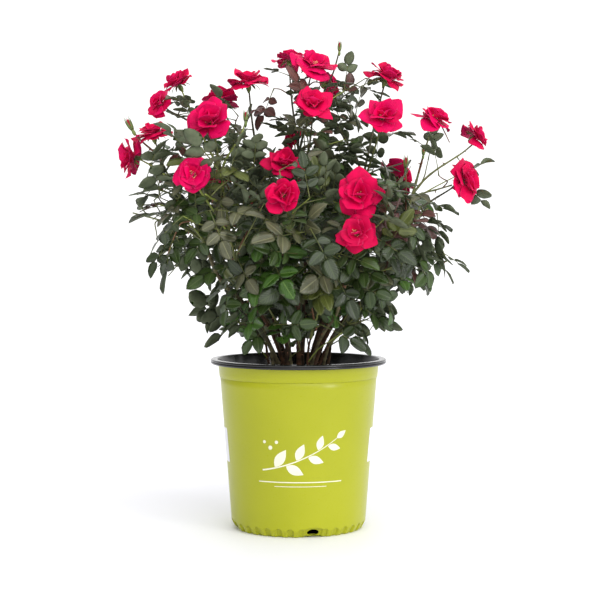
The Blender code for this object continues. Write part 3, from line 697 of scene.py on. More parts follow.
def printed_leaf(share, side):
    """A pointed oval beside the sprig's stem: its half width is a sine along it."""
    rows, step = np.arange(SPRIG_ROWS), share * (SPRIG_ROWS - 1)
    slopes = np.gradient(sprig, axis=0)
    foot, ahead = (np.array([np.interp(step, rows, values[:, axis]) for axis in (0, 1)])
                   for values in (sprig, slopes))
    ahead, turn = unit(ahead), side * PRINT_LEAF_ANGLE
    way = np.array((ahead[0] * math.cos(turn) - ahead[1] * math.sin(turn),
                    ahead[0] * math.sin(turn) + ahead[1] * math.cos(turn)))
    length = PRINT_LEAF_LENGTH[0] + (PRINT_LEAF_LENGTH[1] - PRINT_LEAF_LENGTH[0]) * share
    t = np.linspace(0.0, 1.0, PRINT_LEAF_ROWS)
    line = foot + (PRINT_LEAF_OFFSET * abs(side) + length * t[:, None]) * way
    width = 2 * PRINT_LEAF_HALF * length * np.sin(math.pi * t ** PRINT_LEAF_POWER)
    return ribbon(line, width + THINNEST_PRINT)


ribbons += [printed_leaf(share, side) for share, side in PRINT_LEAVES]
print("printed leaves", len(PRINT_LEAVES))

# %% Rules, berries and the printed piece
# Each rule: its ends, height and thickness. Each berry: its place and radius.
RULES = ((-0.058, 0.064, 0.0795, 0.0014), (-0.034, 0.040, 0.0735, 0.0009))
RULE_ROWS = 30
BERRIES = ((-0.040, 0.128, 0.0030), (-0.031, 0.136, 0.0024), (-0.049, 0.136, 0.0022))
BERRY_ROWS = 13

for left, right, height, thick in RULES:
    line = np.stack((np.linspace(left, right, RULE_ROWS), np.full(RULE_ROWS, height)), axis=1)
    ribbons.append(ribbon(line, np.full(RULE_ROWS, thick)))
for across, height, size in BERRIES:
    angle = np.linspace(0.02, 0.98, BERRY_ROWS) * math.pi
    line = np.stack((across - size * np.cos(angle), np.full(BERRY_ROWS, height)), axis=1)
    ribbons.append(ribbon(line, 2 * size * np.sin(angle)))

print_cream = mottled("print_cream", (226, 226, 198), (238, 237, 214), 60.0, 1400.0,
                      (0.45, 0.58), 0.00002)
body = Gathering()
for shape in ribbons:
    body.add_sheets(on_wall(shape[..., 0], shape[..., 1])[None], SKIN, 0, 0)
body.piece("pot_print", [print_cream], ["pot"], smooth=False)

# %% Two blank stickers
STICKER_HEIGHTS = (0.0985, 0.1475)
# The bearing of each sticker's two ends, in degrees.
STICKERS = ((140.0, 199.0), (-19.0, 42.0))
STICKER_ROUND = 0.002
# A sticker's corners are cut in two steps, by these shares of that radius in and up.
CORNER_IN = np.array((0.0, 0.3))
CORNER_UP = np.array((1.0, 0.4))
STICKER_COLUMNS = 28
STICKER_ROWS = 6

sticker_white = mottled("sticker_white", (236, 236, 240), (244, 244, 246), 30.0, 1600.0,
                        (0.40, 0.52), 0.00002)
low, high = STICKER_HEIGHTS
corner_cut = STICKER_ROUND * np.array((*CORNER_UP, *np.zeros(STICKER_COLUMNS), *CORNER_UP[::-1]))
share = np.linspace(0.0, 1.0, STICKER_ROWS)[None]
heights = (low + corner_cut)[:, None] * (1 - share) + (high - corner_cut)[:, None] * share
body = Gathering()
for first, last in STICKERS:
    half = math.radians(last - first) / 2 * wall_radius(sum(STICKER_HEIGHTS) / 2)
    left = CORNER_IN * STICKER_ROUND - half
    straight = np.linspace(STICKER_ROUND - half, half - STICKER_ROUND, STICKER_COLUMNS)
    across = np.concatenate((left, straight, -left[::-1]))
    front = on_wall(np.broadcast_to(across[:, None], heights.shape), heights,
                    math.radians((first + last) / 2))
    body.add_sheets(front[None], SKIN, 0, 0)
body.piece("stickers", [sticker_white], ["pot"], smooth=False)

# %% [markdown]
# ## Potting mix
# The mix is dark composted bark. Its surface is a disc of rings whose height wanders, lower
# towards the wall, and on it lie hundreds of loose chips. A chip is a squashed lump of a few
# faces: a box would look like a brick, so its corners are pulled about at random.

# %% Mix surface
MIX_RINGS = 40
MIX_TURNS = 120
MIX_RELIEF = 0.0022
MIX_DISH = 0.004
MIX_DEPTH = 0.012
# The relief's waves: how many, their radians in a metre, and the one that has the full height.
WAVES = 26
WAVE_RANGE = (60.0, 700.0)
FULL_WAVE = 40.0

soil_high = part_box("soil")[1]
MIX_RADIUS = soil_high.x - 0.0004
rng = dice(10)
mix_waves = [(rng.uniform(*WAVE_RANGE), rng.uniform(*ANY_TURN), rng.uniform(*ANY_TURN))
             for _ in range(WAVES)]


def mix_height(x, y):
    """The height of the mix at places on it: a dish, plus waves of many lengths and ways, each
    lower the shorter it is."""
    height = soil_high.z - MIX_DISH * (np.hypot(x, y) / MIX_RADIUS) ** 4 - MIX_RELIEF
    for wave, way, phase in mix_waves:
        run = x * np.cos(way) + y * np.sin(way)
        height = height + MIX_RELIEF * FULL_WAVE / wave * np.sin(wave * run + phase)
    return height


ring_radii = MIX_RADIUS * np.linspace(0.012, 1.0, MIX_RINGS)[:, None]
angle = all_round(MIX_TURNS)[None]
x, y = ring_radii * np.cos(angle), ring_radii * np.sin(angle)
top = np.stack((x, y, mix_height(x, y)), axis=-1)
rim = top[-1:].copy()
rim[..., 2] = soil_high.z - MIX_DEPTH
middles = np.array(((0.0, 0.0, mix_height(0.0, 0.0)), (0.0, 0.0, soil_high.z - MIX_DEPTH)))
mix_points = np.concatenate((top.reshape(-1, 3), rim.reshape(-1, 3), middles))
mix_walls = grid_faces(MIX_RINGS + 1, MIX_TURNS, wrap=True)
ring = np.arange(MIX_TURNS)
foot_ring = ring + MIX_RINGS * MIX_TURNS
hub = (MIX_RINGS + 1) * MIX_TURNS
top_fan, foot_fan = fan(ring, hub), fan(foot_ring, hub + 1)[:, (1, 0, 2)]
print("mix radius", round(MIX_RADIUS, 4), "top", round(soil_high.z, 4))

# %% Bark chips and the piece
CHIPS = 900
CHIP_SIZE = (0.0035, 0.0120)
# A chip's length, width and thickness as shares of its size.
CHIP_SHAPE = (0.9, 0.5, 0.30)
CHIP_ROUGH = 0.22
CHIP_ROWS = 4
CHIP_SIDES = 6
CHIP_END = 62.0
CHIP_TILT = 0.3
CHIP_ROLL = 0.25
BLACK_CHIPS = 0.45

far = MIX_RADIUS * 0.95 * np.sqrt(rng.uniform(0.0, 1.0, CHIPS))
about = rng.uniform(0.0, 2 * math.pi, CHIPS)
size = rng.uniform(0.0, 1.0, CHIPS) ** 2 * (CHIP_SIZE[1] - CHIP_SIZE[0]) + CHIP_SIZE[0]
place = np.stack((far * np.cos(about), far * np.sin(about), 0.0 * far), axis=1)
place[:, 2] = mix_height(place[:, 0], place[:, 1]) + 0.1 * size
long_way = unit(rng.normal(0.0, 1.0, (CHIPS, 3)) * (1.0, 1.0, CHIP_TILT))
wide_way = unit(np.cross(long_way, UP + rng.normal(0.0, CHIP_ROLL, (CHIPS, 3))))
thick_way = np.cross(long_way, wide_way)
lat = np.radians(np.linspace(-CHIP_END, CHIP_END, CHIP_ROWS))[:, None]
lon = all_round(CHIP_SIDES)[None]
lump = np.stack((np.sin(lat) + 0.0 * lon, np.cos(lat) * np.cos(lon), np.cos(lat) * np.sin(lon)), -1)
lump = lump[None] * (1.0 + rng.normal(0.0, CHIP_ROUGH, (CHIPS, CHIP_ROWS, CHIP_SIDES, 1)))
lump = lump * np.array(CHIP_SHAPE) * size[:, None, None, None] / 2
axes = np.stack((long_way, wide_way, thick_way), axis=1)[:, None, None]
chips = place[:, None, None] + np.sum(lump[..., None] * axes, axis=-2)
chip_walls = grid_faces(CHIP_ROWS, CHIP_SIDES, wrap=True)
side = np.arange(CHIP_SIDES)
chip_ends = np.stack((side, side[::-1] + (CHIP_ROWS - 1) * CHIP_SIDES))
chip_kind = 1 + (rng.random(CHIPS) < BLACK_CHIPS)

mix_dark = mottled("mix_dark", (22, 18, 15), (48, 38, 30), 240.0, 1100.0, (0.8, 0.95), 0.0012, 0.2)
chip_brown = mottled("chip_brown", (40, 28, 20), (82, 60, 42), 200.0, 900.0,
                     (0.7, 0.9), 0.0008, 0.25)
chip_black = mottled("chip_black", (20, 18, 17), (44, 38, 34), 200.0, 900.0,
                     (0.7, 0.9), 0.0008, 0.25)
body = Gathering()
body.add(mix_points[None], (mix_walls[:, ::-1], 0), (top_fan, 0), (foot_fan, 0))
body.add(chips.reshape(CHIPS, -1, 3), (chip_walls, chip_kind), (chip_ends, chip_kind))
body.piece("potting_mix", [mix_dark, chip_brown, chip_black], ["soil"])

# %% [markdown]
# ## The plan of the plant
# The solids grow by a rule, and the dressed plant grows by the same rule, so that every shoot,
# flower and leaf stands where its solid does. A bough has a cane, which ends at a fork. A stem
# goes on from there, shoots leave it towards their tips, and leaves stand round each shoot in
# turn wherever the air is still free. Copying the solids' meshes would give their coarse shapes.
# Growing them again gives lines and frames that fine leaves and petals can be hung on.

# %% Boughs, by their fork and what their shoots carry
MILLIMETRES = 1000.0
FLOWER = "flower"
BUD = "bud"
LEAFY = "leafy"
# One row a bough: its fork, then its tips, the stem's own tip first. A tip is what it carries,
# its place, its width, and the bearing and tilt that it faces, in millimetres and degrees.
# Bearings turn from +X towards +Y.
BOUGHS = {
    "far_left": ((-130, -50, 405), (
        (FLOWER, -205, -50, 568, 59, 230, 75),
        (FLOWER, -239, -20, 534, 63, 190, 5),
        (BUD, -236, -62, 577, 13, 200, 62),
        (LEAFY, -236, -34, 455, 0, 184, 16),
    )),
    "upper_left": ((-70, -10, 400), (
        (FLOWER, -174, 0, 643, 55, 200, 60),
        (FLOWER, -199, -20, 611, 43, 215, 25),
    )),
    "left_front": ((-80, -100, 370), (
        (FLOWER, -121, -100, 580, 69, 255, 35),
        (FLOWER, -142, -160, 505, 51, 270, 15),
        (BUD, -73, -92, 586, 11, 90, 80),
    )),
    "middle_left": ((-40, 40, 420), (
        (FLOWER, -71, -20, 643, 60, 270, 78),
        (FLOWER, -112, 30, 621, 59, 90, 70),
        (FLOWER, -11, 80, 567, 42, 200, 30),
    )),
    "middle": ((10, -25, 415), (
        (FLOWER, -14, 50, 682, 50, 90, 70),
        (FLOWER, 22, -20, 666, 65, 300, 55),
        (FLOWER, 20, -80, 604, 60, 270, 50),
        (BUD, 59, 0, 693, 10, 0, 88),
    )),
    "middle_front": ((0, -90, 340), (
        (FLOWER, -19, -190, 476, 53, 265, 5),
        (FLOWER, -20, -76, 524, 58, 280, 45),
    )),
    "right_front": ((60, -90, 340), (
        (FLOWER, 81, -180, 478, 64, 270, 10),
        (FLOWER, 76, -205, 426, 58, 255, 25),
    )),
    "upper_right": ((70, 0, 400), (
        (FLOWER, 128, 0, 652, 64, 330, 65),
        (FLOWER, 117, -90, 588, 63, 280, 40),
        (FLOWER, 44, 60, 648, 47, 30, 30),
    )),
    "far_right": ((130, -20, 390), (
        (FLOWER, 196, -20, 591, 60, 320, 60),
        (FLOWER, 269, 20, 568, 53, 0, 35),
        (FLOWER, 238, -40, 500, 63, 325, 10),
        (BUD, 151, -60, 524, 12, 270, 85),
        (BUD, 178, -32, 542, 9, 300, 80),
        (LEAFY, 212, -20, 385, 0, 0, 20),
    )),
    "back_left": ((-75, 85, 360), (
        (FLOWER, -130, 150, 500, 58, 130, 35),
        (FLOWER, -70, 195, 455, 60, 110, 20),
        (LEAFY, -165, 100, 430, 0, 150, 20),
    )),
    "back_middle": ((15, 100, 365), (
        (FLOWER, 5, 165, 520, 60, 95, 45),
        (FLOWER, 50, 210, 445, 55, 75, 15),
    )),
    "back_right": ((90, 75, 360), (
        (FLOWER, 150, 135, 512, 60, 40, 35),
        (FLOWER, 110, 190, 465, 58, 60, 20),
        (LEAFY, 190, 85, 420, 0, 30, 20),
    )),
}

print("upper boughs", len(BOUGHS))

# %% Lines of canes and shoots
CELL = 0.004
FINE_STEP = 0.002
BEND = 0.38


def arc(start, leave, end, arrive, count):
    """The cubic curve that leaves and reaches its ends in two given directions."""
    reach = BEND * np.linalg.norm(end - start)
    first = start + reach * leave
    second = end - reach * arrive
    t = np.linspace(0.0, 1.0, count)[:, None]
    s = 1.0 - t
    return s ** 3 * start + 3 * s * s * t * first + 3 * s * t * t * second + t ** 3 * end


def squared(line, travel):
    """The line with its first stretch set straight along its direction of travel."""
    line = line.copy()
    line[1] = line[0] + travel * np.linalg.norm(line[1] - line[0])
    return line


def lengths_along(line):
    """How far along the line each of its points lies."""
    return np.concatenate(((0.0,), np.cumsum(np.linalg.norm(np.diff(line, axis=0), axis=1))))


def length_of(line):
    """The whole length of a line."""
    return lengths_along(line)[-1]


def points_along(line, distances):
    """The places at some distances along a line."""
    run = lengths_along(line)
    return np.stack([np.interp(distances, run, line[:, axis]) for axis in range(3)], axis=-1)


def place_along(line, distance):
    """The place and the direction of travel at a distance along a line."""
    behind, place, ahead = points_along(line, distance + np.array((-CELL, 0.0, CELL)))
    return place, unit(ahead - behind)


def thick_line(line, reach):
    """Points all along a line and a little to each side of it."""
    points = points_along(line, np.arange(0.0, length_of(line), FINE_STEP))
    steps = np.concatenate((np.zeros((1, 3)), np.eye(3), -np.eye(3))) * reach
    return (points[:, None] + steps[None]).reshape(-1, 3)


print("an arc's length:", length_of(arc(UP * 0, UP, heading(0, 0), UP, 6)).round(3))

# %% Free air
AIR_LOW = np.array((-0.34, -0.30, 0.20))
AIR_SIZE = np.array((0.68, 0.60, 0.56))
# The largest share of a leaf that may lie in air its own bough has taken.
OWN_SHARE = 0.22


class Air:
    """The space round the plant in small cubes, each free or taken by a numbered bough."""

    def __init__(self):
        self.owner = np.zeros(np.ceil(AIR_SIZE / CELL).astype(int), dtype=np.int16)

    def cells(self, points):
        """The cube that each point lies in."""
        cells = np.floor((points - AIR_LOW) / CELL).astype(int)
        return np.clip(cells, 1, np.array(self.owner.shape) - 2)

    def take(self, points, number):
        """Take the free cubes at these points and the free ones next to them."""
        cells = self.cells(points)
        for step in np.ndindex(3, 3, 3):
            x, y, z = (cells + np.array(step) - 1).T
            free = self.owner[x, y, z] == 0
            self.owner[x[free], y[free], z[free]] = number

    def owners(self, points):
        """The owner of the air at each point, 0 where it is free."""
        x, y, z = self.cells(points).T
        return self.owner[x, y, z]

    def open_to(self, points, number):
        """Whether points stay out of the air of every other bough."""
        owners = self.owners(points)
        return not np.any((owners != 0) & (owners != number))

    def fits(self, points, number):
        """Whether points stay out of other boughs and mostly out of their own."""
        return self.open_to(points, number) and np.mean(self.owners(points) == number) < OWN_SHARE


print("air cubes", Air().owner.size)

# %% Low boughs
# They stand in the spaces between the outer canes. Each has three leafy shoots: the share of
# that space they turn by, their reach and the height of their tips.
LOW = "low_"
INNER_FORK_REACH = 0.075
LOW_FORK_REACH = 0.060
LOW_FORK_HEIGHT = 0.278
LOW_TILT = 10.0
LOW_SHOOTS = ((0.0, 0.105, 0.300), (-0.27, 0.118, 0.345), (0.27, 0.112, 0.375))


def low_boughs():
    """The low boughs: one in the middle of each space between two outer canes."""
    outer = [(x, y) for (x, y, z), tips in BOUGHS.values()
             if math.hypot(x, y) > INNER_FORK_REACH * MILLIMETRES]
    bearings = sorted(math.degrees(math.atan2(y, x)) % 360.0 for x, y in outer)
    boughs = {}
    for index, bearing in enumerate(bearings):
        space = (bearings[(index + 1) % len(bearings)] - bearing) % 360.0
        middle = bearing + space / 2
        fork = heading(middle, 0) * LOW_FORK_REACH + UP * LOW_FORK_HEIGHT
        tips = []
        for share, reach, height in LOW_SHOOTS:
            facing = middle + share * space
            place = heading(facing, 0) * reach + UP * height
            tips.append((LEAFY, *(place * MILLIMETRES), 0, facing, LOW_TILT))
        boughs[f"{LOW}{index + 1}"] = (fork * MILLIMETRES, tips)
    return boughs


print("low boughs", len(low_boughs()))

# %% Canes
SOIL_DEPTH = 0.035
GAP = 0.0003
CANE_POINTS = 6
FLARE_HEIGHT = 0.012
# How far from the axis the feet stand, of canes with a near fork, a far one and a low one.
INNER_RING = 0.013
OUTER_RING = 0.025
LOW_RING = 0.042
CANE_LEAN = 0.10
CANE_RISE = 0.25
LOW_CANE_BEND = 0.5


def cane_path(name, fork):
    """A cane's line, from its foot in the mix out to its fork, and its direction there."""
    outward = outwards(fork)
    if name.startswith(LOW):
        ring = LOW_RING
    elif math.hypot(fork[0], fork[1]) > INNER_FORK_REACH:
        ring = OUTER_RING
    else:
        ring = INNER_RING
    foot = outward * ring + UP * (POT_HEIGHT - SOIL_DEPTH + GAP)
    bend = LOW_CANE_BEND * outward if name.startswith(LOW) else CANE_RISE * UP
    arrive = unit(unit(fork - foot) + bend)
    line = arc(foot, unit(UP + CANE_LEAN * outward), fork, arrive, CANE_POINTS)
    line = squared(line[::-1], -arrive)[::-1]
    line[1] = foot + UP * FLARE_HEIGHT
    return line, arrive


print("rings of canes", INNER_RING, OUTER_RING, LOW_RING, "m from the axis")

# %% Stems and shoots
SHOOT_POINTS = 6
LEAFY_POINTS = 4
FORK_ANGLE = math.radians(36.0)
FORK_SPAN = (0.06, 0.80)
FORK_TRIALS = 38
# How far a shoot stops short of the middle of what it carries, as a share of its width.
SINK = {FLOWER: 0.15, BUD: 0.5, LEAFY: 0.0}
# How strongly a shoot under a flower or bud bends upwards at its end.
LIFT = {FLOWER: 0.4, BUD: 0.4, LEAFY: 0.0}


def fork_distance(stem, tip):
    """How far along the stem a shoot leaves it, to set off towards its tip at the fork angle."""
    distances = np.linspace(*FORK_SPAN, FORK_TRIALS) * length_of(stem)
    misses = []
    for distance in distances:
        place, travel = place_along(stem, distance)
        angle = math.acos(np.clip(np.dot(travel, unit(tip - place)), -1.0, 1.0))
        misses.append(abs(angle - FORK_ANGLE))
    return distances[int(np.argmin(misses))]


def plan_bough(name, number, fork, tips):
    """A bough's cane, its stem, the shoots that branch off it and what they carry."""
    fork = np.array(fork) / MILLIMETRES
    cane, travel = cane_path(name, fork)
    bough = {"name": name, "number": number, "cane": cane, "shoots": [], "heads": [], "leaves": []}
    for kind, x, y, z, width, bearing, tilt in tips:
        head = {"kind": kind, "place": np.array((x, y, z)) / MILLIMETRES,
                "facing": heading(bearing, tilt), "width": width / MILLIMETRES}
        end = head["place"] - SINK[kind] * head["width"] * head["facing"]
        count = LEAFY_POINTS if kind == LEAFY else SHOOT_POINTS
        if bough["shoots"]:
            stem = bough["shoots"][0]["line"]
            start, ahead = place_along(stem, fork_distance(stem, end))
            leave = unit(ahead + unit(end - start))
        else:
            start, leave = fork + travel * GAP, travel
        arrive = unit(head["facing"] + unit(end - start) + LIFT[kind] * UP)
        line = arc(start, leave, end, arrive, count)
        if not bough["shoots"]:
            line = squared(line, travel)
        bough["shoots"].append({"line": line, "kind": kind})
        if kind != LEAFY:
            bough["heads"].append(head)
    return bough


print("shoots leave at", round(math.degrees(FORK_ANGLE)), "degrees")

# %% Side shoots
# Each side shoot: its share along the stem and its turn from straight outwards, in degrees.
SIDE_SHOOTS = ((0.08, 48.0), (0.24, -52.0), (0.42, 20.0))
SIDE_SHOOT_LENGTH = 0.068
SIDE_SHOOT_RISE = math.radians(22.0)
# More turns, tried in this order.
SIDE_SHOOT_TURNS = (0.0, 35.0, -35.0, 70.0, -70.0, 120.0)
SHOOT_CLEARANCE = 0.0025


def add_side_shoots(bough, air):
    """Short leafy shoots low on the stem, each turned until the air it runs through is free."""
    stem = bough["shoots"][0]["line"]
    for share, turn in SIDE_SHOOTS:
        place, travel = place_along(stem, share * length_of(stem))
        for more in SIDE_SHOOT_TURNS:
            way = turned(outwards(place), UP, math.radians(turn + more))
            way = way * math.cos(SIDE_SHOOT_RISE) + UP * math.sin(SIDE_SHOOT_RISE)
            end = place + way * SIDE_SHOOT_LENGTH
            line = arc(place, unit(travel + way), end, way, LEAFY_POINTS)
            if air.open_to(thick_line(line, SHOOT_CLEARANCE), bough["number"]):
                bough["shoots"].append({"line": line, "kind": LEAFY})
                air.take(thick_line(line, 0.0), bough["number"])
                break


print("side shoots up to", len(SIDE_SHOOTS), "a stem")

# %% The air that a flower takes
# A flower's or bud's height as a share of its width.
TALLNESS = {FLOWER: 0.5, BUD: 2.4}
HEAD_STEP = 0.003
LEVEL_GUIDE = heading(0, 0) + 0.1 * UP


def head_points(head):
    """Points that fill the drum a flower or bud takes up."""
    width = head["width"]
    facing = head["facing"]
    across = unit(np.cross(facing, LEVEL_GUIDE))
    over = np.cross(facing, across)
    spans = np.linspace(-0.5, 0.5, 2 + int(width / HEAD_STEP))
    rises = TALLNESS[head["kind"]] * np.linspace(-0.5, 0.5, 2 + int(width / HEAD_STEP))
    a, b, c = (grid.reshape(-1, 1) for grid in np.meshgrid(spans, spans, rises, indexing="ij"))
    round_ones = (np.hypot(a, b) <= 0.5).ravel()
    return (head["place"] + width * (a * across + b * over + c * facing))[round_ones]


print("a flower is", TALLNESS[FLOWER], "as tall as wide")

# %% One leaf
LOW_LEAF = 0.094
HIGH_LEAF = 0.066
LEAF_SPREAD = (0.85, 1.10)
LOW_HEIGHT = 0.30
HIGH_HEIGHT = 0.60
STAND = (52.0, 72.0)
DROOP = (0.05, 0.22)
LOW_HANG = 0.55
LOW_LEAN = 0.75
HIGH_LEAN = 0.20
UNEVEN = 0.22
# Half widths of a leaf at shares of its length, as shares of it: it narrows between leaflets.
PETIOLE = 0.25
LOBE_MIDDLES = (0.0, 0.28, 0.50, 0.57, 0.77, 1.0)
LOBE_HALVES = (0.013, 0.015, 0.300, 0.045, 0.190, 0.0)


def leaf_grid(leaf, along, across):
    """An even grid of points over a leaf, from the end of its bare stalk to its tip: its midrib
    bends away from its face by the square of the way along, and its edges follow its lobes."""
    u, v = np.meshgrid(np.linspace(PETIOLE, 1.0, along), np.linspace(-1.0, 1.0, across))
    u, v = u.ravel(), v.ravel()
    half = np.interp(u, LOBE_MIDDLES, LOBE_HALVES)
    u = u[:, None]
    run = leaf["root"] + leaf["length"] * (u * leaf["along"] - leaf["droop"] * u * u * leaf["face"])
    return run + leaf["length"] * (half * v)[:, None] * leaf["side"]


def plan_leaf(rng, place, travel, turn, high):
    """A leaf that stands out from a shoot at one turn round it, hanging more the lower it is."""
    guide = unit(np.cross(travel, UP + 0.1 * heading(0, 0)))
    out = turned(guide, travel, turn)
    stand = math.radians(rng.uniform(*STAND))
    along = unit(travel * math.cos(stand) + out * math.sin(stand) - UP * LOW_HANG * (1.0 - high))
    lean = LOW_LEAN + (HIGH_LEAN - LOW_LEAN) * high
    facing = UP * (1.0 - lean) + outwards(place) * lean + rng.normal(0.0, UNEVEN, 3)
    side = unit(np.cross(along, facing))
    length = (LOW_LEAF + (HIGH_LEAF - LOW_LEAF) * high) * rng.uniform(*LEAF_SPREAD)
    return {"root": place, "along": along, "side": side, "face": np.cross(side, along),
            "length": length, "droop": rng.uniform(*DROOP)}


def height_share(place):
    """0 at the bottom of the crown and 1 from its upper part on."""
    return np.clip((place[2] - LOW_HEIGHT) / (HIGH_HEIGHT - LOW_HEIGHT), 0.0, 1.0)


print("leaves from", LOW_LEAF, "m long low down to", HIGH_LEAF, "m higher up")

# %% Leaves along the shoots
LEAF_STEP = 0.050
LEAF_START = 0.016
BARE_NECK = 0.045
LEAF_TURN = math.radians(137.5)
# Each new try at a leaf is turned on by this and shrunk by this share.
NEXT_TURN = math.radians(31.0)
TRIES = 14
SHRINK = 0.025
POT_MARGIN = 0.005
# The crown is a bowl below: at these heights, leaves stay within these distances of its axis.
BOWL_HEIGHTS = (0.240, 0.300, 0.360, 0.420)
BOWL_RADII = (0.122, 0.160, 0.202, 0.320)
# Points along and across a leaf where its air is tested and where it is taken.
TESTED = (18, 9)
TAKEN = (22, 13)


def in_bowl(points, loose=1.0):
    """Whether points lie above the pot and inside the bowl that the crown's foot makes."""
    bowl = loose * np.interp(points[:, 2], BOWL_HEIGHTS, BOWL_RADII)
    inside = np.all(np.hypot(points[:, 0], points[:, 1]) < bowl)
    return inside and points[:, 2].min() > POT_HEIGHT + POT_MARGIN


def leaf_fits(leaf, number, air):
    """Whether a leaf hangs in the bowl and in free air."""
    points = leaf_grid(leaf, *TESTED)
    return in_bowl(points) and air.fits(points, number)


def grow_leaves(bough, air):
    """Leaves in turn round each shoot, with one at the very end of each leafy shoot."""
    for order, shoot in enumerate(bough["shoots"]):
        total = length_of(shoot["line"])
        bare = 0.0 if shoot["kind"] == LEAFY else BARE_NECK
        sites = np.arange(LEAF_START, total - bare, LEAF_STEP)
        if shoot["kind"] == LEAFY:
            sites[-1] = total - GAP
        for site, distance in enumerate(sites):
            rng = dice(bough["number"], order, site)
            place, travel = place_along(shoot["line"], distance)
            for attempt in range(TRIES):
                turn = LEAF_TURN * (site + order) + NEXT_TURN * attempt
                leaf = plan_leaf(rng, place, travel, turn, height_share(place))
                leaf["length"] *= 1.0 - SHRINK * attempt
                if leaf_fits(leaf, bough["number"], air):
                    bough["leaves"].append(leaf)
                    air.take(leaf_grid(leaf, *TAKEN), bough["number"])
                    break


print("a leaf every", LEAF_STEP, "m")

# %% Grow the whole plan
CANE_CLEARANCE = 0.003

air = Air()
rows = {**BOUGHS, **low_boughs()}
boughs = [plan_bough(name, number, *row) for number, (name, row) in enumerate(rows.items(), 1)]
for bough in boughs:
    air.take(thick_line(bough["cane"], CANE_CLEARANCE), len(boughs) + 1)
    for shoot in bough["shoots"]:
        air.take(thick_line(shoot["line"], 0.0), bough["number"])
    for head in bough["heads"]:
        air.take(head_points(head), bough["number"])
for bough in boughs:
    if not bough["name"].startswith(LOW):
        add_side_shoots(bough, air)
for bough in boughs:
    grow_leaves(bough, air)
print("leaves of the solids", sum(len(bough["leaves"]) for bough in boughs))

# %% [markdown]
# ## Finer growth
# The solids have only as many leaves as they can afford. The real plant is fuller: it has short
# twigs with two or three leaves all through the lower half of its crown, and small leaves close
# under its flowers. They are grown here by the same rule into the air that is left. A few longer
# twigs reach out into bare corners of the outline. A leaf that would leave its bough's own reach
# is dropped, so the outline stays the solids'. So is one that would hang in front of a flower,
# and most of those in the crown's openings, which are laid out as the camera sees them.

# %% Openings in the crown
# Openings as the camera sees them against the plane through the pot's axis: their middle, half
# width and half height in millimetres, and how many leaves in a hundred stay there.
OPENINGS = (
    (-285, 545, 40, 70, 0), (-272, 500, 48, 36, 5), (-265, 462, 55, 35, 60),
    (-246, 424, 42, 46, 0), (-240, 505, 22, 22, 30), (-200, 492, 34, 30, 60),
    (-200, 440, 30, 28, 45), (-168, 398, 20, 20, 40), (-132, 434, 18, 20, 50),
    (-165, 425, 32, 50, 35), (-166, 345, 30, 45, 5), (-135, 325, 22, 35, 40),
    (-150, 270, 40, 35, 25), (-120, 435, 22, 20, 40), (-70, 650, 32, 20, 30),
    (-35, 692, 22, 14, 0), (-22, 582, 16, 22, 30), (-30, 615, 24, 55, 30),
    (49, 640, 18, 22, 40), (85, 598, 18, 42, 35), (160, 575, 30, 35, 50),
    (152, 535, 38, 40, 12), (193, 512, 42, 40, 5), (234, 470, 22, 32, 0),
    (195, 415, 20, 32, 50), (264, 418, 36, 60, 0), (230, 434, 20, 18, 40),
    (240, 560, 40, 40, 30), (262, 345, 40, 45, 5), (128, 260, 28, 24, 5),
    (122, 292, 20, 18, 40),
)
FLOWER_VIEW = 0.075
VIEW_CONE = 0.42
VIEW_SHARE = 0.10
OPENING_SEED = 12
# Where the middle of a leaf lies along it.
LEAF_MIDDLE = 0.6
# Flowers that face the front more than this are kept clear for the camera too.
TURNED_AWAY = -0.2
# Points along and across a leaf for a coarse look at it.
GLANCED = (10, 5)


def kept_in_opening(leaf, rng):
    """Whether a leaf stays: always outside the openings, by chance inside one. Its middle is
    carried along the line of sight to the plane through the axis."""
    middle = leaf["root"] + LEAF_MIDDLE * leaf["length"] * leaf["along"]
    eye = np.array(CAMERA_PLACE)
    seen = eye + (middle - eye) * eye[1] / (eye[1] - middle[1])
    chance = rng.random()
    x, z = seen[0] * MILLIMETRES, seen[2] * MILLIMETRES
    return all(math.hypot((x - middle_x) / wide, (z - middle_z) / tall) > 1.0
               or 100 * chance < stay for middle_x, middle_z, wide, tall, stay in OPENINGS)


def flower_views():
    """The clear air before every flower: its middle, the way out and its radius, both along
    the way it faces and, where it faces the front, straight forwards."""
    views = []
    for bough in boughs:
        for head in bough["heads"]:
            if head["kind"] == FLOWER:
                ways = [head["facing"]]
                if head["facing"] @ FRONT > TURNED_AWAY:
                    ways.append(FRONT)
                views += [(head["place"], way, VIEW_CONE * head["width"]) for way in ways]
    return views


def hides_flower(points, views):
    """Whether more than a small share of these points lies close before some flower."""
    for place, way, radius in views:
        offset = points - place
        ahead = offset @ way
        aside = np.linalg.norm(offset - ahead[:, None] * way, axis=1)
        if np.mean((ahead > 0.0) & (ahead < FLOWER_VIEW) & (aside < radius)) > VIEW_SHARE:
            return True
    return False


views = flower_views()
rng = dice(OPENING_SEED)
for bough in boughs:
    bough["leaves"] = [leaf for leaf in bough["leaves"] if kept_in_opening(leaf, rng)
                       and not hides_flower(leaf_grid(leaf, *GLANCED), views)]
print("leaves of the solids that stay", sum(len(bough["leaves"]) for bough in boughs))

# %% Extra leaves
BOWL_LOOSE = 1.12
# The largest share of an extra leaf that may lie in taken air.
CROWDING = 0.30
REACH_MARGIN = 0.003
FINELY_TAKEN = (16, 7)


def loosely_fits(leaf, air, low, high, loose):
    """Whether a leaf stays in its bough's reach, in the bowl, clear of the flowers and mostly
    in free air."""
    points = leaf_grid(leaf, *GLANCED)
    inside = np.all(points > low + REACH_MARGIN) and np.all(points < high - REACH_MARGIN)
    return (inside and in_bowl(points, loose) and np.mean(air.owners(points) != 0) < CROWDING
            and not hides_flower(points, views))


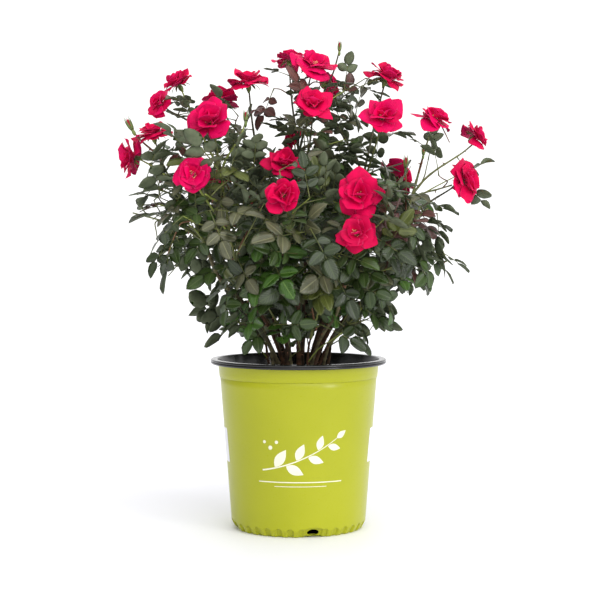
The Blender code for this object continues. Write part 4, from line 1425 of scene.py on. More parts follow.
def grow_leaf(bough, air, rng, line, distance, turn, size, reach, loose=BOWL_LOOSE):
    """One more leaf on a line, turned until it fits; none if it never does."""
    place, travel = place_along(line, distance)
    for attempt in range(TRIES):
        leaf = plan_leaf(rng, place, travel, turn + NEXT_TURN * attempt, height_share(place))
        leaf["length"] *= size
        if loosely_fits(leaf, air, *reach, loose):
            if not kept_in_opening(leaf, rng):
                return False
            bough["leaves"].append(leaf)
            air.take(leaf_grid(leaf, *FINELY_TAKEN), bough["number"])
            return True
    return False


print("flower views kept clear", len(views))

# %% Twigs
TWIG_LENGTH = (0.045, 0.075)
TWIG_RISE = (5.0, 50.0)
TWIG_OUTWARD = 0.4
TWIG_SITES = (0.45, 0.75, 1.0)
TWIG_TRIES = 5
TWIG_LEAF = 0.92
BETWEEN_LEAF = 0.82
# Twigs that fill the outline's bare corners: where they reach, by bough, in millimetres.
REACHING = {
    "far_left": ((-200, -40, 415),),
    "left_front": ((-188, -90, 405), (-180, -120, 395), (-185, -100, 382)),
    "back_left": ((-195, 100, 395), (-195, 60, 380), (-195, 80, 362)),
    "upper_left": ((-160, -20, 610),),
    "upper_right": ((92, 0, 638),),
    "far_right": ((205, -20, 405), (205, 10, 400), (215, -30, 555)),
    "back_right": ((172, 60, 368), (160, 80, 358), (185, 40, 365),
                   (150, 100, 352), (185, 75, 375)),
    "right_front": ((140, -100, 375), (145, -120, 390)),
}
REACHING_STEP = 0.024
REACHING_LOOSE = 1.35
REACHING_SAG = 0.3


def grow_twig(bough, air, rng, line, distance, reach):
    """A short twig that leaves a shoot, with a leaf at each of its sites, cut off at its last."""
    place, travel = place_along(line, distance)
    for _ in range(TWIG_TRIES):
        way = heading(rng.uniform(0.0, 360.0), rng.uniform(*TWIG_RISE))
        length = rng.uniform(*TWIG_LENGTH)
        way = unit(way + TWIG_OUTWARD * outwards(place))
        twig = arc(place, unit(travel + way), place + way * length, way, LEAFY_POINTS)
        taken = np.mean(air.owners(thick_line(twig, 0.0)) != 0)
        if taken > 2 * CROWDING or hides_flower(twig, views):
            continue
        total = length_of(twig)
        grown = [share * total for site, share in enumerate(TWIG_SITES)
                 if grow_leaf(bough, air, rng, twig, share * total, LEAF_TURN * site, TWIG_LEAF,
                              reach)]
        if grown:
            bough["twigs"].append(points_along(twig, np.linspace(0.0, grown[-1], LEAFY_POINTS)))
            return


def reach_out(bough, air, rng, tip, reach):
    """A twig from the nearest of a bough's shoots to a place, with leaves back from its tip."""
    wood = np.concatenate([shoot["line"] for shoot in bough["shoots"]])
    start = wood[np.argmin(np.linalg.norm(wood - tip, axis=1))]
    way = unit(tip - start)
    twig = arc(start, unit(way + UP), tip, unit(way - REACHING_SAG * UP), LEAFY_POINTS)
    for site, distance in enumerate(np.arange(length_of(twig), 0.0, -REACHING_STEP)):
        grow_leaf(bough, air, rng, twig, distance, LEAF_TURN * site, BETWEEN_LEAF, reach,
                  REACHING_LOOSE)
    bough["twigs"].append(twig)


print("twigs that reach into bare corners", sum(len(tips) for tips in REACHING.values()))

# %% Grow the finer leaves
TWIG_STEP = 0.034
TWIG_START = 0.020
# Low canes bear twigs too, from this share of their length up.
CANE_TWIGS_FROM = 0.45
CANE_TWIG_STEP = 0.022
TWIG_CEILING = 0.50
# Above it twigs grow only in these columns: their middle, half width and top.
COLUMNS = ((0.026, 0.042, 0.645), (-0.172, 0.012, 0.610), (-0.098, 0.012, 0.590))
NECK_SITES = (0.020, 0.036)
NECK_LEAF = 0.60


def leafy_here(place):
    """Whether twigs grow at a place: anywhere low down, and in a few columns further up."""
    return place[2] < TWIG_CEILING or any(abs(place[0] - middle) < half and place[2] < top
                                          for middle, half, top in COLUMNS)


def grow_finer(bough, air):
    """Leaves between the first ones, small ones under each flower, and twigs lower down."""
    rng = dice(bough["number"])
    reach = [np.array(corner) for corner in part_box("foliage_" + bough["name"])]
    bough["twigs"] = []
    for tip in REACHING.get(bough["name"], ()):
        reach_out(bough, air, rng, np.array(tip) / MILLIMETRES, reach)
    if bough["name"].startswith(LOW):
        total = length_of(bough["cane"])
        for distance in np.arange(CANE_TWIGS_FROM * total, total, CANE_TWIG_STEP):
            grow_twig(bough, air, rng, bough["cane"], distance, reach)
    for shoot in bough["shoots"]:
        line = shoot["line"]
        total = length_of(line)
        if shoot["kind"] == FLOWER:
            for neck in NECK_SITES:
                turn = rng.uniform(*ANY_PHASE)
                grow_leaf(bough, air, rng, line, total - neck, turn, NECK_LEAF, reach)
        for distance in np.arange(LEAF_START + LEAF_STEP / 2, total - NECK_SITES[1], LEAF_STEP):
            turn = rng.uniform(*ANY_PHASE)
            grow_leaf(bough, air, rng, line, distance, turn, BETWEEN_LEAF, reach)
        for distance in np.arange(TWIG_START, total, TWIG_STEP):
            if leafy_here(points_along(line, distance)):
                grow_twig(bough, air, rng, line, distance, reach)


for bough in boughs:
    grow_finer(bough, air)
print("twigs", sum(len(bough["twigs"]) for bough in boughs),
      "leaves", sum(len(bough["leaves"]) for bough in boughs))

# %% [markdown]
# ## Canes
# A rose's canes come up from the mix woody and brown, and turn green where they are young. A
# plain tube looks like wire, so each cane's radius carries relief: a flare at the foot, a swollen
# ring at every old bud, and shallow ridges that run up the bark. All canes are one array of
# tubes. Their hooked prickles are tubes too, bent down along the cane.

# %% Cane shapes
CANE_ROWS = 96
CANE_SIDES = 18
CANE_FOOT_RADIUS = 0.0042
CANE_FORK_RADIUS = 0.0030
LOW_CANE_FOOT_RADIUS = 0.0036
LOW_CANE_FORK_RADIUS = 0.0022
CANE_THICKNESSES = (0.62, 0.74, 0.88, 1.10)
FLARE = 0.30
FLARE_REACH = 0.006
KNOT_STEP = 0.026
KNOT_SWELL = 0.16
KNOT_LENGTH = 0.0022
RIDGE_RELIEF = 0.055
# The waves round a cane that make its ridges, and how they wind along it.
RIDGE_WAVES = (2, 3, 5, 7)
RIDGE_WIND = 90.0
RIDGE_SWING = 3
WANDER = 0.0012
WANDER_WAVES = (2, 3, 5)
WANDER_SEED, RELIEF_SEED, PRICKLE_SEED, SHOOT_SEED = 1, 2, 3, 4


def cane_line(bough):
    """A cane's smooth line, carried on a little way into its fork, with a slight wander."""
    line = smooth_line(bough["cane"], CANE_ROWS)
    ahead = smooth_line(bough["shoots"][0]["line"], CANE_ROWS)
    line = np.concatenate((line, ahead[1:2]))
    rng = dice(WANDER_SEED, bough["number"])
    run = np.linspace(0.0, math.pi, len(line))[:, None]
    sway = sum(np.sin(run * wave) * rng.normal(0.0, 1.0 / wave, 3) for wave in WANDER_WAVES)
    return line + WANDER * sway * np.sin(run)


def cane_radii(bough, line):
    """A ring of radii for each point of a cane: its taper, times one plus a flare that dies away
    from the foot, a swelling round each knot, and ridges that are waves round the ring."""
    low = bough["name"].startswith(LOW)
    run = lengths_along(line)
    share = run / run[-1]
    foot = LOW_CANE_FOOT_RADIUS if low else CANE_FOOT_RADIUS
    fork = LOW_CANE_FORK_RADIUS if low else CANE_FORK_RADIUS
    rng = dice(RELIEF_SEED, bough["number"])
    ridges = 0.0
    for wave, phase in zip(RIDGE_WAVES, rng.uniform(*ANY_PHASE, len(RIDGE_WAVES))):
        winding = RIDGE_SWING * np.sin(run[:, None] * RIDGE_WIND / wave + phase)
        ridges = ridges + np.sin(wave * all_round(CANE_SIDES)[None] + phase + winding)
    ridges = ridges / len(RIDGE_WAVES)
    past_knot = (run + rng.uniform(0, KNOT_STEP)) % KNOT_STEP
    knots = np.exp(-((past_knot - KNOT_STEP / 2) / KNOT_LENGTH) ** 2)
    swell = 1.0 + FLARE * np.exp(-run / FLARE_REACH) + KNOT_SWELL * knots
    relief = RIDGE_RELIEF * (1.6 - share)[:, None] * ridges
    thick = rng.choice(CANE_THICKNESSES)
    return thick * (foot + (fork - foot) * share)[:, None] * (swell[:, None] + relief)


cane_lines = np.array([cane_line(bough) for bough in boughs])
cane_rings = np.array([cane_radii(bough, line) for bough, line in zip(boughs, cane_lines)])
print("canes", len(cane_lines), "longest", round(max(length_of(line) for line in cane_lines), 3))

# %% Prickles
PRICKLE_STEP = 0.017
PRICKLE_LENGTH = (0.0028, 0.0050)
PRICKLE_ROOT = 0.0013
PRICKLE_SIDES = 6
# A prickle's four rings: how far they rise and hook, and their radii.
PRICKLE_RISE = (0.0, 0.35, 0.75, 1.0)
PRICKLE_HOOK = (0.0, 0.02, 0.16, 0.42)
PRICKLE_TAPER = (1.0, 0.62, 0.30, 0.05)
# A prickle starts at this share of the bark's radius.
ROOTED = 0.8


def prickles(lines, radii, rng, step):
    """The curves and radii of hooked prickles along lines: at random places and turns, each
    leaves the bark square, bends down along it and ends in a point."""
    roots, outs, downs = [], [], []
    for line, radius in zip(lines, radii):
        run = lengths_along(line)
        for distance in np.arange(step, run[-1], step) + rng.uniform(-0.4, 0.2) * step:
            place, travel = place_along(line, distance)
            out = turned(unit(np.cross(travel, heading(20, 0))), travel, rng.uniform(*ANY_TURN))
            roots.append(place + out * ROOTED * np.interp(distance, run, radius))
            outs.append(out)
            downs.append(-travel)
    roots, outs, downs = np.array(roots), np.array(outs), np.array(downs)
    length = rng.uniform(*PRICKLE_LENGTH, (len(roots), 1, 1))
    rise, hook = np.array(PRICKLE_RISE)[:, None], np.array(PRICKLE_HOOK)[:, None]
    curves = roots[:, None] + length * (rise * outs[:, None] + hook * downs[:, None])
    widths = np.array(PRICKLE_TAPER) * PRICKLE_ROOT * length[:, :, 0] / PRICKLE_LENGTH[1]
    return curves, widths


bark_old = mottled("bark_old", (74, 66, 46), (126, 118, 88), 160.0, 900.0, (0.68, 0.88),
                   0.0005, 0.25)
bark_brown = mottled("bark_brown", (42, 32, 24), (80, 60, 42), 140.0, 900.0, (0.66, 0.86),
                     0.0005, 0.25)
bark_russet = mottled("bark_russet", (58, 38, 27), (98, 68, 46), 120.0, 900.0, (0.6, 0.8),
                      0.0004, 0.3)
prickle_brown = mottled("prickle_brown", (96, 58, 40), (150, 100, 72), 300.0, 1500.0, (0.4, 0.6),
                        0.0001)
CANE_FINISHES = [bark_old, bark_brown, bark_russet, prickle_brown]
CANE_PRICKLE = CANE_FINISHES.index(prickle_brown)

rng = dice(PRICKLE_SEED)
body = Gathering()
body.add_tubes(cane_lines, cane_rings, CANE_SIDES, np.arange(len(boughs)) % CANE_PRICKLE)
hooks = prickles(cane_lines, cane_rings.mean(axis=2), rng, PRICKLE_STEP)
body.add_tubes(*hooks, PRICKLE_SIDES, CANE_PRICKLE)
body.piece("canes", CANE_FINISHES, ["cane_" + bough["name"] for bough in boughs])

# %% [markdown]
# ## Shoots and twigs
# Shoots are the young wood: smooth, thin, green to reddish, with a small swelling where each
# leaf sits. They are drawn as tubes through the plan's own points, on a smooth curve, so that
# each ends exactly where its flower or last leaf begins.

# %% Shoot shapes
SHOOT_ROWS = 34
SHOOT_SIDES = 8
TWIG_ROWS = 12
TWIG_SIDES = 6
STEM_RADIUS = 0.0026
SHOOT_RADIUS = 0.0018
LEAFY_RADIUS = 0.0015
TIP_RADIUS = 0.0010
TWIG_RADII = (0.0011, 0.0007)
NODE_SWELL = 0.22
NODE_LENGTH = 0.0025
# How much further apart prickles stand on shoots.
SHOOT_PRICKLES = 2.2

STEMS = {
    "green": ((120, 136, 58), (150, 160, 78), (0.45, 0.6)),
    "olive": ((84, 92, 48), (116, 120, 66), (0.5, 0.65)),
    "dark": ((54, 58, 40), (84, 82, 56), (0.5, 0.65)),
    "red": ((96, 56, 44), (128, 92, 58), (0.5, 0.65)),
}
STEM_FINISHES = [mottled("stem_" + name, dark, light, 60.0, 900.0, rough, 0.0001)
                 for name, (dark, light, rough) in STEMS.items()]
STEM_FINISHES.append(prickle_brown)
STEM_PRICKLE = STEM_FINISHES.index(prickle_brown)
# Boughs whose wood is still yellow-green; the others' is darker. The shares of the four woods.
GREEN_BOUGHS = ("far_left", "left_front", "right_front")
GREEN_SHARES = (0.6, 0.3, 0.0, 0.1)
OTHER_SHARES = (0.15, 0.35, 0.35, 0.15)
TWIG_SHARES = (0.2, 0.4, 0.25, 0.15)


def shoot_radii(line, thick, phase):
    """Radii along a shoot: a straight taper with a small swelling at each leaf's place."""
    run = lengths_along(line)
    nodes_at = np.exp(-(((run - phase) % (LEAF_STEP / 2) - LEAF_STEP / 4) / NODE_LENGTH) ** 2)
    return (thick + (TIP_RADIUS - thick) * run / run[-1]) * (1.0 + NODE_SWELL * nodes_at)


lines, radii, tints = [], [], []
rng = dice(SHOOT_SEED)
for bough in boughs:
    for order, shoot in enumerate(bough["shoots"]):
        line = smooth_line(shoot["line"], SHOOT_ROWS)
        thick = LEAFY_RADIUS if shoot["kind"] == LEAFY else SHOOT_RADIUS
        if order == 0:
            thick = STEM_RADIUS
        lines.append(line)
        radii.append(shoot_radii(line, thick, LEAF_START - LEAF_STEP / 4))
        shares = GREEN_SHARES if bough["name"] in GREEN_BOUGHS else OTHER_SHARES
        tints.append(rng.choice(STEM_PRICKLE, p=shares))
lines, radii = np.array(lines), np.array(radii)
body = Gathering()
body.add_tubes(lines, radii, SHOOT_SIDES, np.array(tints))
hooks = prickles(lines, radii, rng, SHOOT_PRICKLES * PRICKLE_STEP)
body.add_tubes(*hooks, PRICKLE_SIDES, STEM_PRICKLE)
twig_lines = np.array([smooth_line(twig, TWIG_ROWS) for bough in boughs for twig in bough["twigs"]])
tints = rng.choice(STEM_PRICKLE, len(twig_lines), p=TWIG_SHARES)
body.add_tubes(twig_lines, np.linspace(*TWIG_RADII, TWIG_ROWS), TWIG_SIDES, tints)
foliage_nodes = ["foliage_" + bough["name"] for bough in boughs]
body.piece("shoots", STEM_FINISHES, foliage_nodes)

# %% [markdown]
# ## Leaves
# A rose leaf is compound: a thin stalk with a pair or two of leaflets and one more at its end.
# Each leaflet is an oval that narrows to a point, folded a little along its midrib, with its
# tip turned down. It could be one flat face with a cut-out picture, but then it has no
# thickness, no fold and no rim. Here each one is a closed sheet of two skins, with its midrib
# as a narrow strip of its own. The lower skin is paler and duller, as on the real leaf.

# %% Leaf finishes
VEIN_STEP = 0.060
VEIN_WIDTH = 0.016
VEIN_SLANT = 0.7
VEIN_SHOW = 0.16
VEIN_COLOUR = (136, 154, 100)
QUILT_DEPTH = 0.004
LEAF_PATCHES = 55.0


def leaf_finish(name, dark, light, rough):
    """A leaf's upper skin. Across the leaflet's own map, side veins are thin lines that leave
    the midrib and run forward to the rim; between them the skin is quilted."""
    material, tree, shader = new_finish(name, rough, 0.5)
    place = node(tree, "ShaderNodeTexCoord")
    patches = noise(tree, place.outputs["Object"], LEAF_PATCHES, 3.0)
    split = node(tree, "ShaderNodeSeparateXYZ", {"Vector": place.outputs["UV"]})
    away = maths(tree, "ABSOLUTE", maths(tree, "SUBTRACT", split.outputs["X"], 0.5))
    forward = maths(tree, "MULTIPLY", away, VEIN_SLANT)
    along = maths(tree, "SUBTRACT", split.outputs["Y"], forward)
    wave = maths(tree, "PINGPONG", along, VEIN_STEP)
    veins = ranged(tree, wave, (0.0, VEIN_WIDTH), (VEIN_SHOW, 0.0))
    colour = mix(tree, ranged(tree, patches, NOISE_RANGE, FULL), linear(dark), linear(light))
    colour = mix(tree, veins, colour, linear(VEIN_COLOUR))
    tree.links.new(colour, shader.inputs["Base Color"])
    shine = ranged(tree, patches, NOISE_RANGE, (rough - 0.05, rough + 0.08))
    tree.links.new(shine, shader.inputs["Roughness"])
    add_bump(tree, shader, wave, Distance=QUILT_DEPTH, Strength=0.5)
    return material


# Each tint: the upper skin's dark and light colours, its roughness, and the midrib's colour.
TINTS = {
    "dark": ((24, 37, 11), (39, 54, 20), 0.30, (60, 76, 38)),
    "mid": ((38, 56, 16), (56, 79, 28), 0.31, (80, 98, 52)),
    # The grey tint is a painted sheen for the upper leaves, and the bright tint is partly painted
    # light for the low ones.
    "grey": ((66, 68, 46), (94, 94, 68), 0.35, (120, 120, 86)),
    "bright": ((44, 76, 18), (66, 104, 28), 0.30, (94, 126, 56)),
    "olive": ((66, 74, 26), (90, 98, 38), 0.37, (108, 116, 58)),
    "maroon": ((66, 30, 30), (98, 52, 46), 0.38, (118, 66, 58)),
}
RIB_SHADE = 0.9
leaf_skins = []
for tint, (dark, light, rough, rib) in TINTS.items():
    upper_skin = leaf_finish("leaf_" + tint, dark, light, rough)
    midrib_skin = mottled("midrib_" + tint, RIB_SHADE * np.array(rib), rib, 90.0, 900.0,
                          (0.4, 0.5), 0.0001)
    leaf_skins.append((upper_skin, midrib_skin))
leaf_under = mottled("leaf_under", (80, 90, 66), (104, 112, 86), 90.0, 1200.0, (0.6, 0.75),
                     0.0002, 0.3)
leaf_stalk = mottled("leaf_stalk", (78, 88, 44), (112, 116, 62), 90.0, 900.0, (0.45, 0.6), 0.0001)
print("leaf tints", list(TINTS))

# %% Deal out the tints
# Young red leaves stand in tufts round these places, in millimetres, each this wide.
TUFTS = np.array((
    (-185, -50, 530), (-150, -20, 545), (75, 0, 650), (140, -120, 455), (120, -140, 435),
    (150, 0, 400), (-190, 0, 580), (80, 140, 550), (-100, 130, 540), (0, 0, 560),
)) / MILLIMETRES
TUFT_WIDTH = 0.030
# The shares of the tints at the crown's foot and top; the power keeps its middle like its foot.
# The change with height is partly painted light: bright leaves at the foot paint the low crown lit,
# and pale grey ones at the top paint sheen on the upper leaves.
LOW_TINTS = np.array((0.33, 0.42, 0.04, 0.15, 0.06, 0.0))
HIGH_TINTS = np.array((0.18, 0.22, 0.38, 0.02, 0.06, 0.14))
TINT_POWER = 1.7
TINT_SEED, LEAFLET_SEED = 5, 6


def deal_tint(leaf, rng):
    """A leaf's tint: red inside a tuft, otherwise by chance, brighter ones mostly low down and pale
    grey ones high up, as painted light.
    """
    centre = leaf["root"] + 0.5 * leaf["length"] * leaf["along"]
    if np.min(np.linalg.norm(TUFTS - centre, axis=1)) < TUFT_WIDTH:
        return list(TINTS).index("maroon")
    high = height_share(centre) ** TINT_POWER
    return rng.choice(len(TINTS), p=(1 - high) * LOW_TINTS + high * HIGH_TINTS)


leaves = [leaf for bough in boughs for leaf in bough["leaves"]]
rng = dice(TINT_SEED)
tint_of = np.array([deal_tint(leaf, rng) for leaf in leaves])
roots, alongs, sides, facings = (np.array([leaf[key] for leaf in leaves])
                                 for key in ("root", "along", "side", "face"))
lengths, droops = (np.array([leaf[key] for leaf in leaves]) for key in ("length", "droop"))
print("leaves by tint", np.bincount(tint_of, minlength=len(TINTS)).tolist())

# %% Turn the upper leaves to the sky
# Higher up, each leaf is rolled about its own line, by a share that grows with its height.
LEVEL_FROM = 0.40
LEVEL_TO = 0.50
LEVEL_SHARE = 0.85
LEVEL_UNEVEN = 0.24
share = LEVEL_SHARE * np.clip((roots[:, 2:] - LEVEL_FROM) / (LEVEL_TO - LEVEL_FROM), 0.0, 1.0)
skyward = UP + rng.normal(0.0, LEVEL_UNEVEN, roots.shape)
sides = unit(np.cross(alongs, (1.0 - share) * facings + share * skyward))
facings = np.cross(sides, alongs)
print("leaves rolled", int(np.sum(share > 0.0)))

# %% Leaf stalks
RACHIS_ROWS = 6
RACHIS_END = 0.64
STALK_RADII = (0.0011, 0.0007, 0.0006, 0.0005, 0.0005, 0.0004)


def on_midrib(u, which=slice(None)):
    """The point, direction, side and face of chosen leaves at a share u of their length."""
    u = np.broadcast_to(u, lengths[which].shape)[:, None]
    along, face, bend = alongs[which], facings[which], droops[which][:, None]
    point = roots[which] + lengths[which][:, None] * (u * along - bend * u * u * face)
    ahead = unit(along - 2.0 * bend * u * face)
    return point, ahead, sides[which], np.cross(sides[which], ahead)


stalk_lines = np.stack([on_midrib(u)[0] for u in np.linspace(0.0, RACHIS_END, RACHIS_ROWS)], axis=1)
print("stalks", len(stalk_lines))

# %% Leaflet places
# Each leaflet: its share along the leaf, its angle from the stalk in degrees, and its length as
# a share of the leaf's. A small leaf has no first pair, nor have some of the larger ones.
FIRST_PAIR = 0.27
LEAFLETS = ((FIRST_PAIR, 74.0, 0.29), (FIRST_PAIR, -74.0, 0.29),
            (0.50, 64.0, 0.36), (0.50, -64.0, 0.36), (RACHIS_END, 0.0, 0.41))
SMALL_LEAF = 0.052
FIVE_SHARE = 0.62
JITTER = math.radians(7.0)
TIP_UP = math.radians(9.0)
LEAFLET_SPREAD = (0.88, 1.08)
# A leaflet whose tip would come near the box of the solids is shortened to this share.
SHORTENED = 0.6
TIP_REACH = 1.04
BOX_MARGIN = 0.004


def in_box(points):
    """Whether each point lies well inside the box of the solids."""
    low, high = (np.array(corner) for corner in solid_box)
    return np.all((points > low + BOX_MARGIN) & (points < high - BOX_MARGIN), axis=-1)


def leaflet_frames(rng):
    """For every leaflet of every leaf: its root, direction, normal, length and tint."""
    frames = []
    five = (lengths > SMALL_LEAF) & (rng.random(len(lengths)) < FIVE_SHARE)
    for share, angle, size in LEAFLETS:
        which = np.flatnonzero(five | (share > FIRST_PAIR))
        count = len(which)
        point, ahead, side, face = on_midrib(share, which)
        turn = np.radians(angle) + rng.normal(0.0, JITTER, count)[:, None]
        lift = rng.normal(0.0, TIP_UP, count)[:, None]
        roll = rng.normal(0.0, 2 * JITTER, count)[:, None]
        flat = ahead * np.cos(turn) + side * np.sin(turn)
        way = flat * np.cos(lift) + face * np.sin(lift)
        normal = face * np.cos(lift) - flat * np.sin(lift)
        normal = unit(normal + np.cross(way, face) * np.sin(roll))
        length = size * lengths[which] * rng.uniform(*LEAFLET_SPREAD, count)
        fits = in_box(point + TIP_REACH * length[:, None] * way)
        length = np.where(fits, length, SHORTENED * length)
        frames.append((point, way, normal, length, tint_of[which]))
    return [np.concatenate(parts) for parts in zip(*frames)]


rng = dice(LEAFLET_SEED)
leaflet_root, leaflet_way, leaflet_normal, leaflet_length, leaflet_tint = leaflet_frames(rng)
print("leaflets", len(leaflet_root), "longest", round(leaflet_length.max(), 4))

# %% Leaflet surface
LEAFLET_ALONG = np.array((0.0, 0.10, 0.27, 0.48, 0.70, 0.88, 1.0))
LEAFLET_ACROSS = np.array((-1.0, -0.52, -0.07, 0.07, 0.52, 1.0))
LEAFLET_HALF = 0.36
LEAFLET_THICKNESS = 0.0005
# The outline's powers towards its root and tip, where they make it widest, and the sliver of
# width that both ends keep.
ROOT_POWER = 0.60
TIP_POWER = 0.80
WIDEST = 0.43
SLIVER = 0.03
# The fold along the midrib, in degrees, and how far the tip hangs.
FOLD = (4.0, 26.0)
HANG = (0.02, 0.20)
RIPPLE = 0.022
RIPPLE_TURN = 9.0


def leaflet_outline(t):
    """Half width along a leaflet, 1 at its widest: a power of the way from the root, times a
    power of the way to the tip, and a sliver at both ends so that neither is a bare point."""
    shape = t ** ROOT_POWER * (1.0 - t) ** TIP_POWER
    largest = WIDEST ** ROOT_POWER * (1.0 - WIDEST) ** TIP_POWER
    return SLIVER + (1.0 - SLIVER) * shape / largest


def leaflet_surface(rng):
    """Grids of points for all leaflets: forward by t, sideways by v times the outline, lifted by
    |v| for the fold, lowered by t squared for the hanging tip, and rippled at the rim."""
    count = len(leaflet_root)
    t = LEAFLET_ALONG[None, :, None]
    v = LEAFLET_ACROSS[None, None, :]
    fold = np.radians(rng.uniform(*FOLD, count))[:, None, None]
    hang = rng.uniform(*HANG, count)[:, None, None]
    phase = rng.uniform(*ANY_TURN, count)[:, None, None]
    half = LEAFLET_HALF * leaflet_outline(t)
    aside = v * half * np.cos(fold)
    ripple = RIPPLE * np.sin(RIPPLE_TURN * t + phase + v) * v * v
    lift = np.abs(v) * half * np.sin(fold) - hang * t * t + ripple
    ahead = t + 0.0 * v
    across = np.cross(leaflet_normal, leaflet_way)
    parts = zip((ahead, aside, lift), (leaflet_way, across, leaflet_normal))
    offset = sum(np.broadcast_to(part, lift.shape)[..., None] * axis[:, None, None]
                 for part, axis in parts)
    return leaflet_root[:, None, None] + leaflet_length[:, None, None, None] * offset


points, upper, lower = sheet(leaflet_surface(rng), LEAFLET_THICKNESS)
leaflet_map = sheet_map(LEAFLET_ALONG, LEAFLET_ACROSS)
columns = len(LEAFLET_ACROSS) - 1
midrib = (np.arange(len(upper)) % columns) == columns // 2
print("faces of a leaflet", len(upper) + len(lower))

# %% Leaf pieces
STALK_SIDES = 5

for number, tint in enumerate(TINTS):
    body = Gathering()
    body.add(points[leaflet_tint == number], (upper[~midrib], 0), (upper[midrib], 1), (lower, 2),
             uv=leaflet_map)
    body.add_tubes(stalk_lines[tint_of == number], STALK_RADII, STALK_SIDES, 3)
    skins = [*leaf_skins[number], leaf_under, leaf_stalk]
    body.piece("leaves_" + tint, skins, foliage_nodes)

# %% [markdown]
# ## Flowers
# The flowers are half-double: under twenty broad petals in whorls round a small tuft of
# stamens. The outer petals spread or hang, and their rims roll back towards the end, which
# leaves a point between deep notches; the inner ones stand up, hollow and crumpled. One petal
# could be modelled and copied, but then every flower would be the same. A petal is a formula
# instead. Its midline is an arc that starts at one tilt and ends at another, and across it the
# petal is hollow near its root and rolled back near its end, so a whorl is a row of numbers and
# every petal in the bush can differ a little.

# %% Petal formula
PETAL_ALONG = np.array((0.0, 0.14, 0.30, 0.46, 0.62, 0.76, 0.88, 0.96, 1.0))
PETAL_ACROSS = np.array((-1.0, -0.82, -0.54, -0.26, 0.0, 0.26, 0.54, 0.82, 1.0))
WIDTH_START = 0.04
WIDTH_SPAN = 0.64
WIDTH_POWER = 1.2
POINT_POWER = 1.5
LEAST_TAPER = 0.02
# The two waves of the ruffle: radians per step across, per step along and per phase, and height.
RUFFLES = ((4.6, 5.0, 1.0, 1.0), (8.3, -3.0, 2.0, 0.6))
MIDDLE_RUFFLE = 0.35


def petal_surface(heads, spec):
    """Grids of points for many petals, in units of half a flower's width.

    A point starts on the midline, at s along it, where s is shortened towards the rims so that
    the end is rounded or pointed. The midline's tilt goes evenly from start to end, so its run
    outwards is the integral of the cosine of the tilt and its rise that of the sine. From there
    the point goes sideways round a circle. The curl, one over its radius, goes from hollow at
    the root to rolled back at the end. The ruffle moves the point up and down, and the twist
    lifts one side. The width is a sine along the petal, times a taper."""
    turn = spec["turn"][:, None, None, None]
    spec = {key: value[:, None, None] for key, value in spec.items()}
    v = PETAL_ACROSS[None, None, :]
    s = PETAL_ALONG[None, :, None] * (1.0 - spec["point"] * np.abs(v) ** POINT_POWER)
    bend = spec["end"] - spec["start"]
    tilt = spec["start"] + bend * s
    run = spec["root"] + spec["length"] * (np.sin(tilt) - np.sin(spec["start"])) / bend
    rise = spec["height"] - spec["length"] * (np.cos(tilt) - np.cos(spec["start"])) / bend
    broad = np.sin(math.pi * (WIDTH_START + WIDTH_SPAN * s)) ** WIDTH_POWER
    broad = spec["claw"] + (1.0 - spec["claw"]) * broad
    broad = broad * np.maximum(1.0 - s, LEAST_TAPER) ** spec["taper"]
    aside = v * spec["half"] * broad
    angle = (spec["hollow"] * (1.0 - s) - spec["roll"] * s ** 2) * np.abs(aside)
    across = aside * np.sinc(angle / math.pi)
    hollow = np.abs(aside) * np.sin(angle / 2) * np.sinc(angle / (2 * math.pi))
    wave = spec["ruffle"] * sum(height * np.sin(over * v + on * s + shift * spec["phase"])
                                for over, on, shift, height in RUFFLES)
    raised = hollow + s * spec["twist"] * aside
    raised = raised + s ** 2 * wave * (MIDDLE_RUFFLE + (1.0 - MIDDLE_RUFFLE) * v * v)
    out = run - raised * np.sin(tilt)
    up = rise + raised * np.cos(tilt)
    x, y, z = (heads[key][:, None, None] for key in ("x", "y", "z"))
    outward = x * np.cos(turn) + y * np.sin(turn)
    sideways = y * np.cos(turn) - x * np.sin(turn)
    offset = out[..., None] * outward + across[..., None] * sideways + up[..., None] * z
    return heads["place"][:, None, None] + heads["half"][:, None, None, None] * offset


petal_map = sheet_map(PETAL_ALONG, PETAL_ACROSS)
print("points on a petal's face", PETAL_ALONG.size * PETAL_ACROSS.size)

# %% Frames of the flowers
# How far a flower's petals reach beside its middle and how high, as shares of half its width.
FLOWER_MARGIN = 1.15
FLOWER_RISE = 0.4
# A direction that no flower faces, from which the flowers' own axes are turned.
ODD_FACING = (0.23, -0.91, 0.34)


def head_frames(kind):
    """For each flower or bud of a kind: its place, half its width, and its own axes. One that
    would reach past the box of the solids is moved in."""
    heads = [head for bough in boughs for head in bough["heads"] if head["kind"] == kind]
    z = np.array([head["facing"] for head in heads])
    x = unit(np.cross(z, ODD_FACING))
    half = np.array([head["width"] for head in heads]) / 2
    place = np.array([head["place"] for head in heads])
    if kind == FLOWER:
        aside = FLOWER_MARGIN * half[:, None] * np.sqrt(1.0 - z ** 2)
        room = aside + FLOWER_RISE * half[:, None] * np.abs(z)
        place = np.clip(place, np.array(solid_box[0]) + room, np.array(solid_box[1]) - room)
    return {"place": place, "x": x, "y": np.cross(z, x), "z": z, "half": half}


def chosen(frames, which):
    """The frames at these indices, which may repeat."""
    return {key: value[which] for key, value in frames.items()}


flowers = head_frames(FLOWER)
buds = head_frames(BUD)
print("flowers", len(flowers["half"]), "buds", len(buds["half"]))

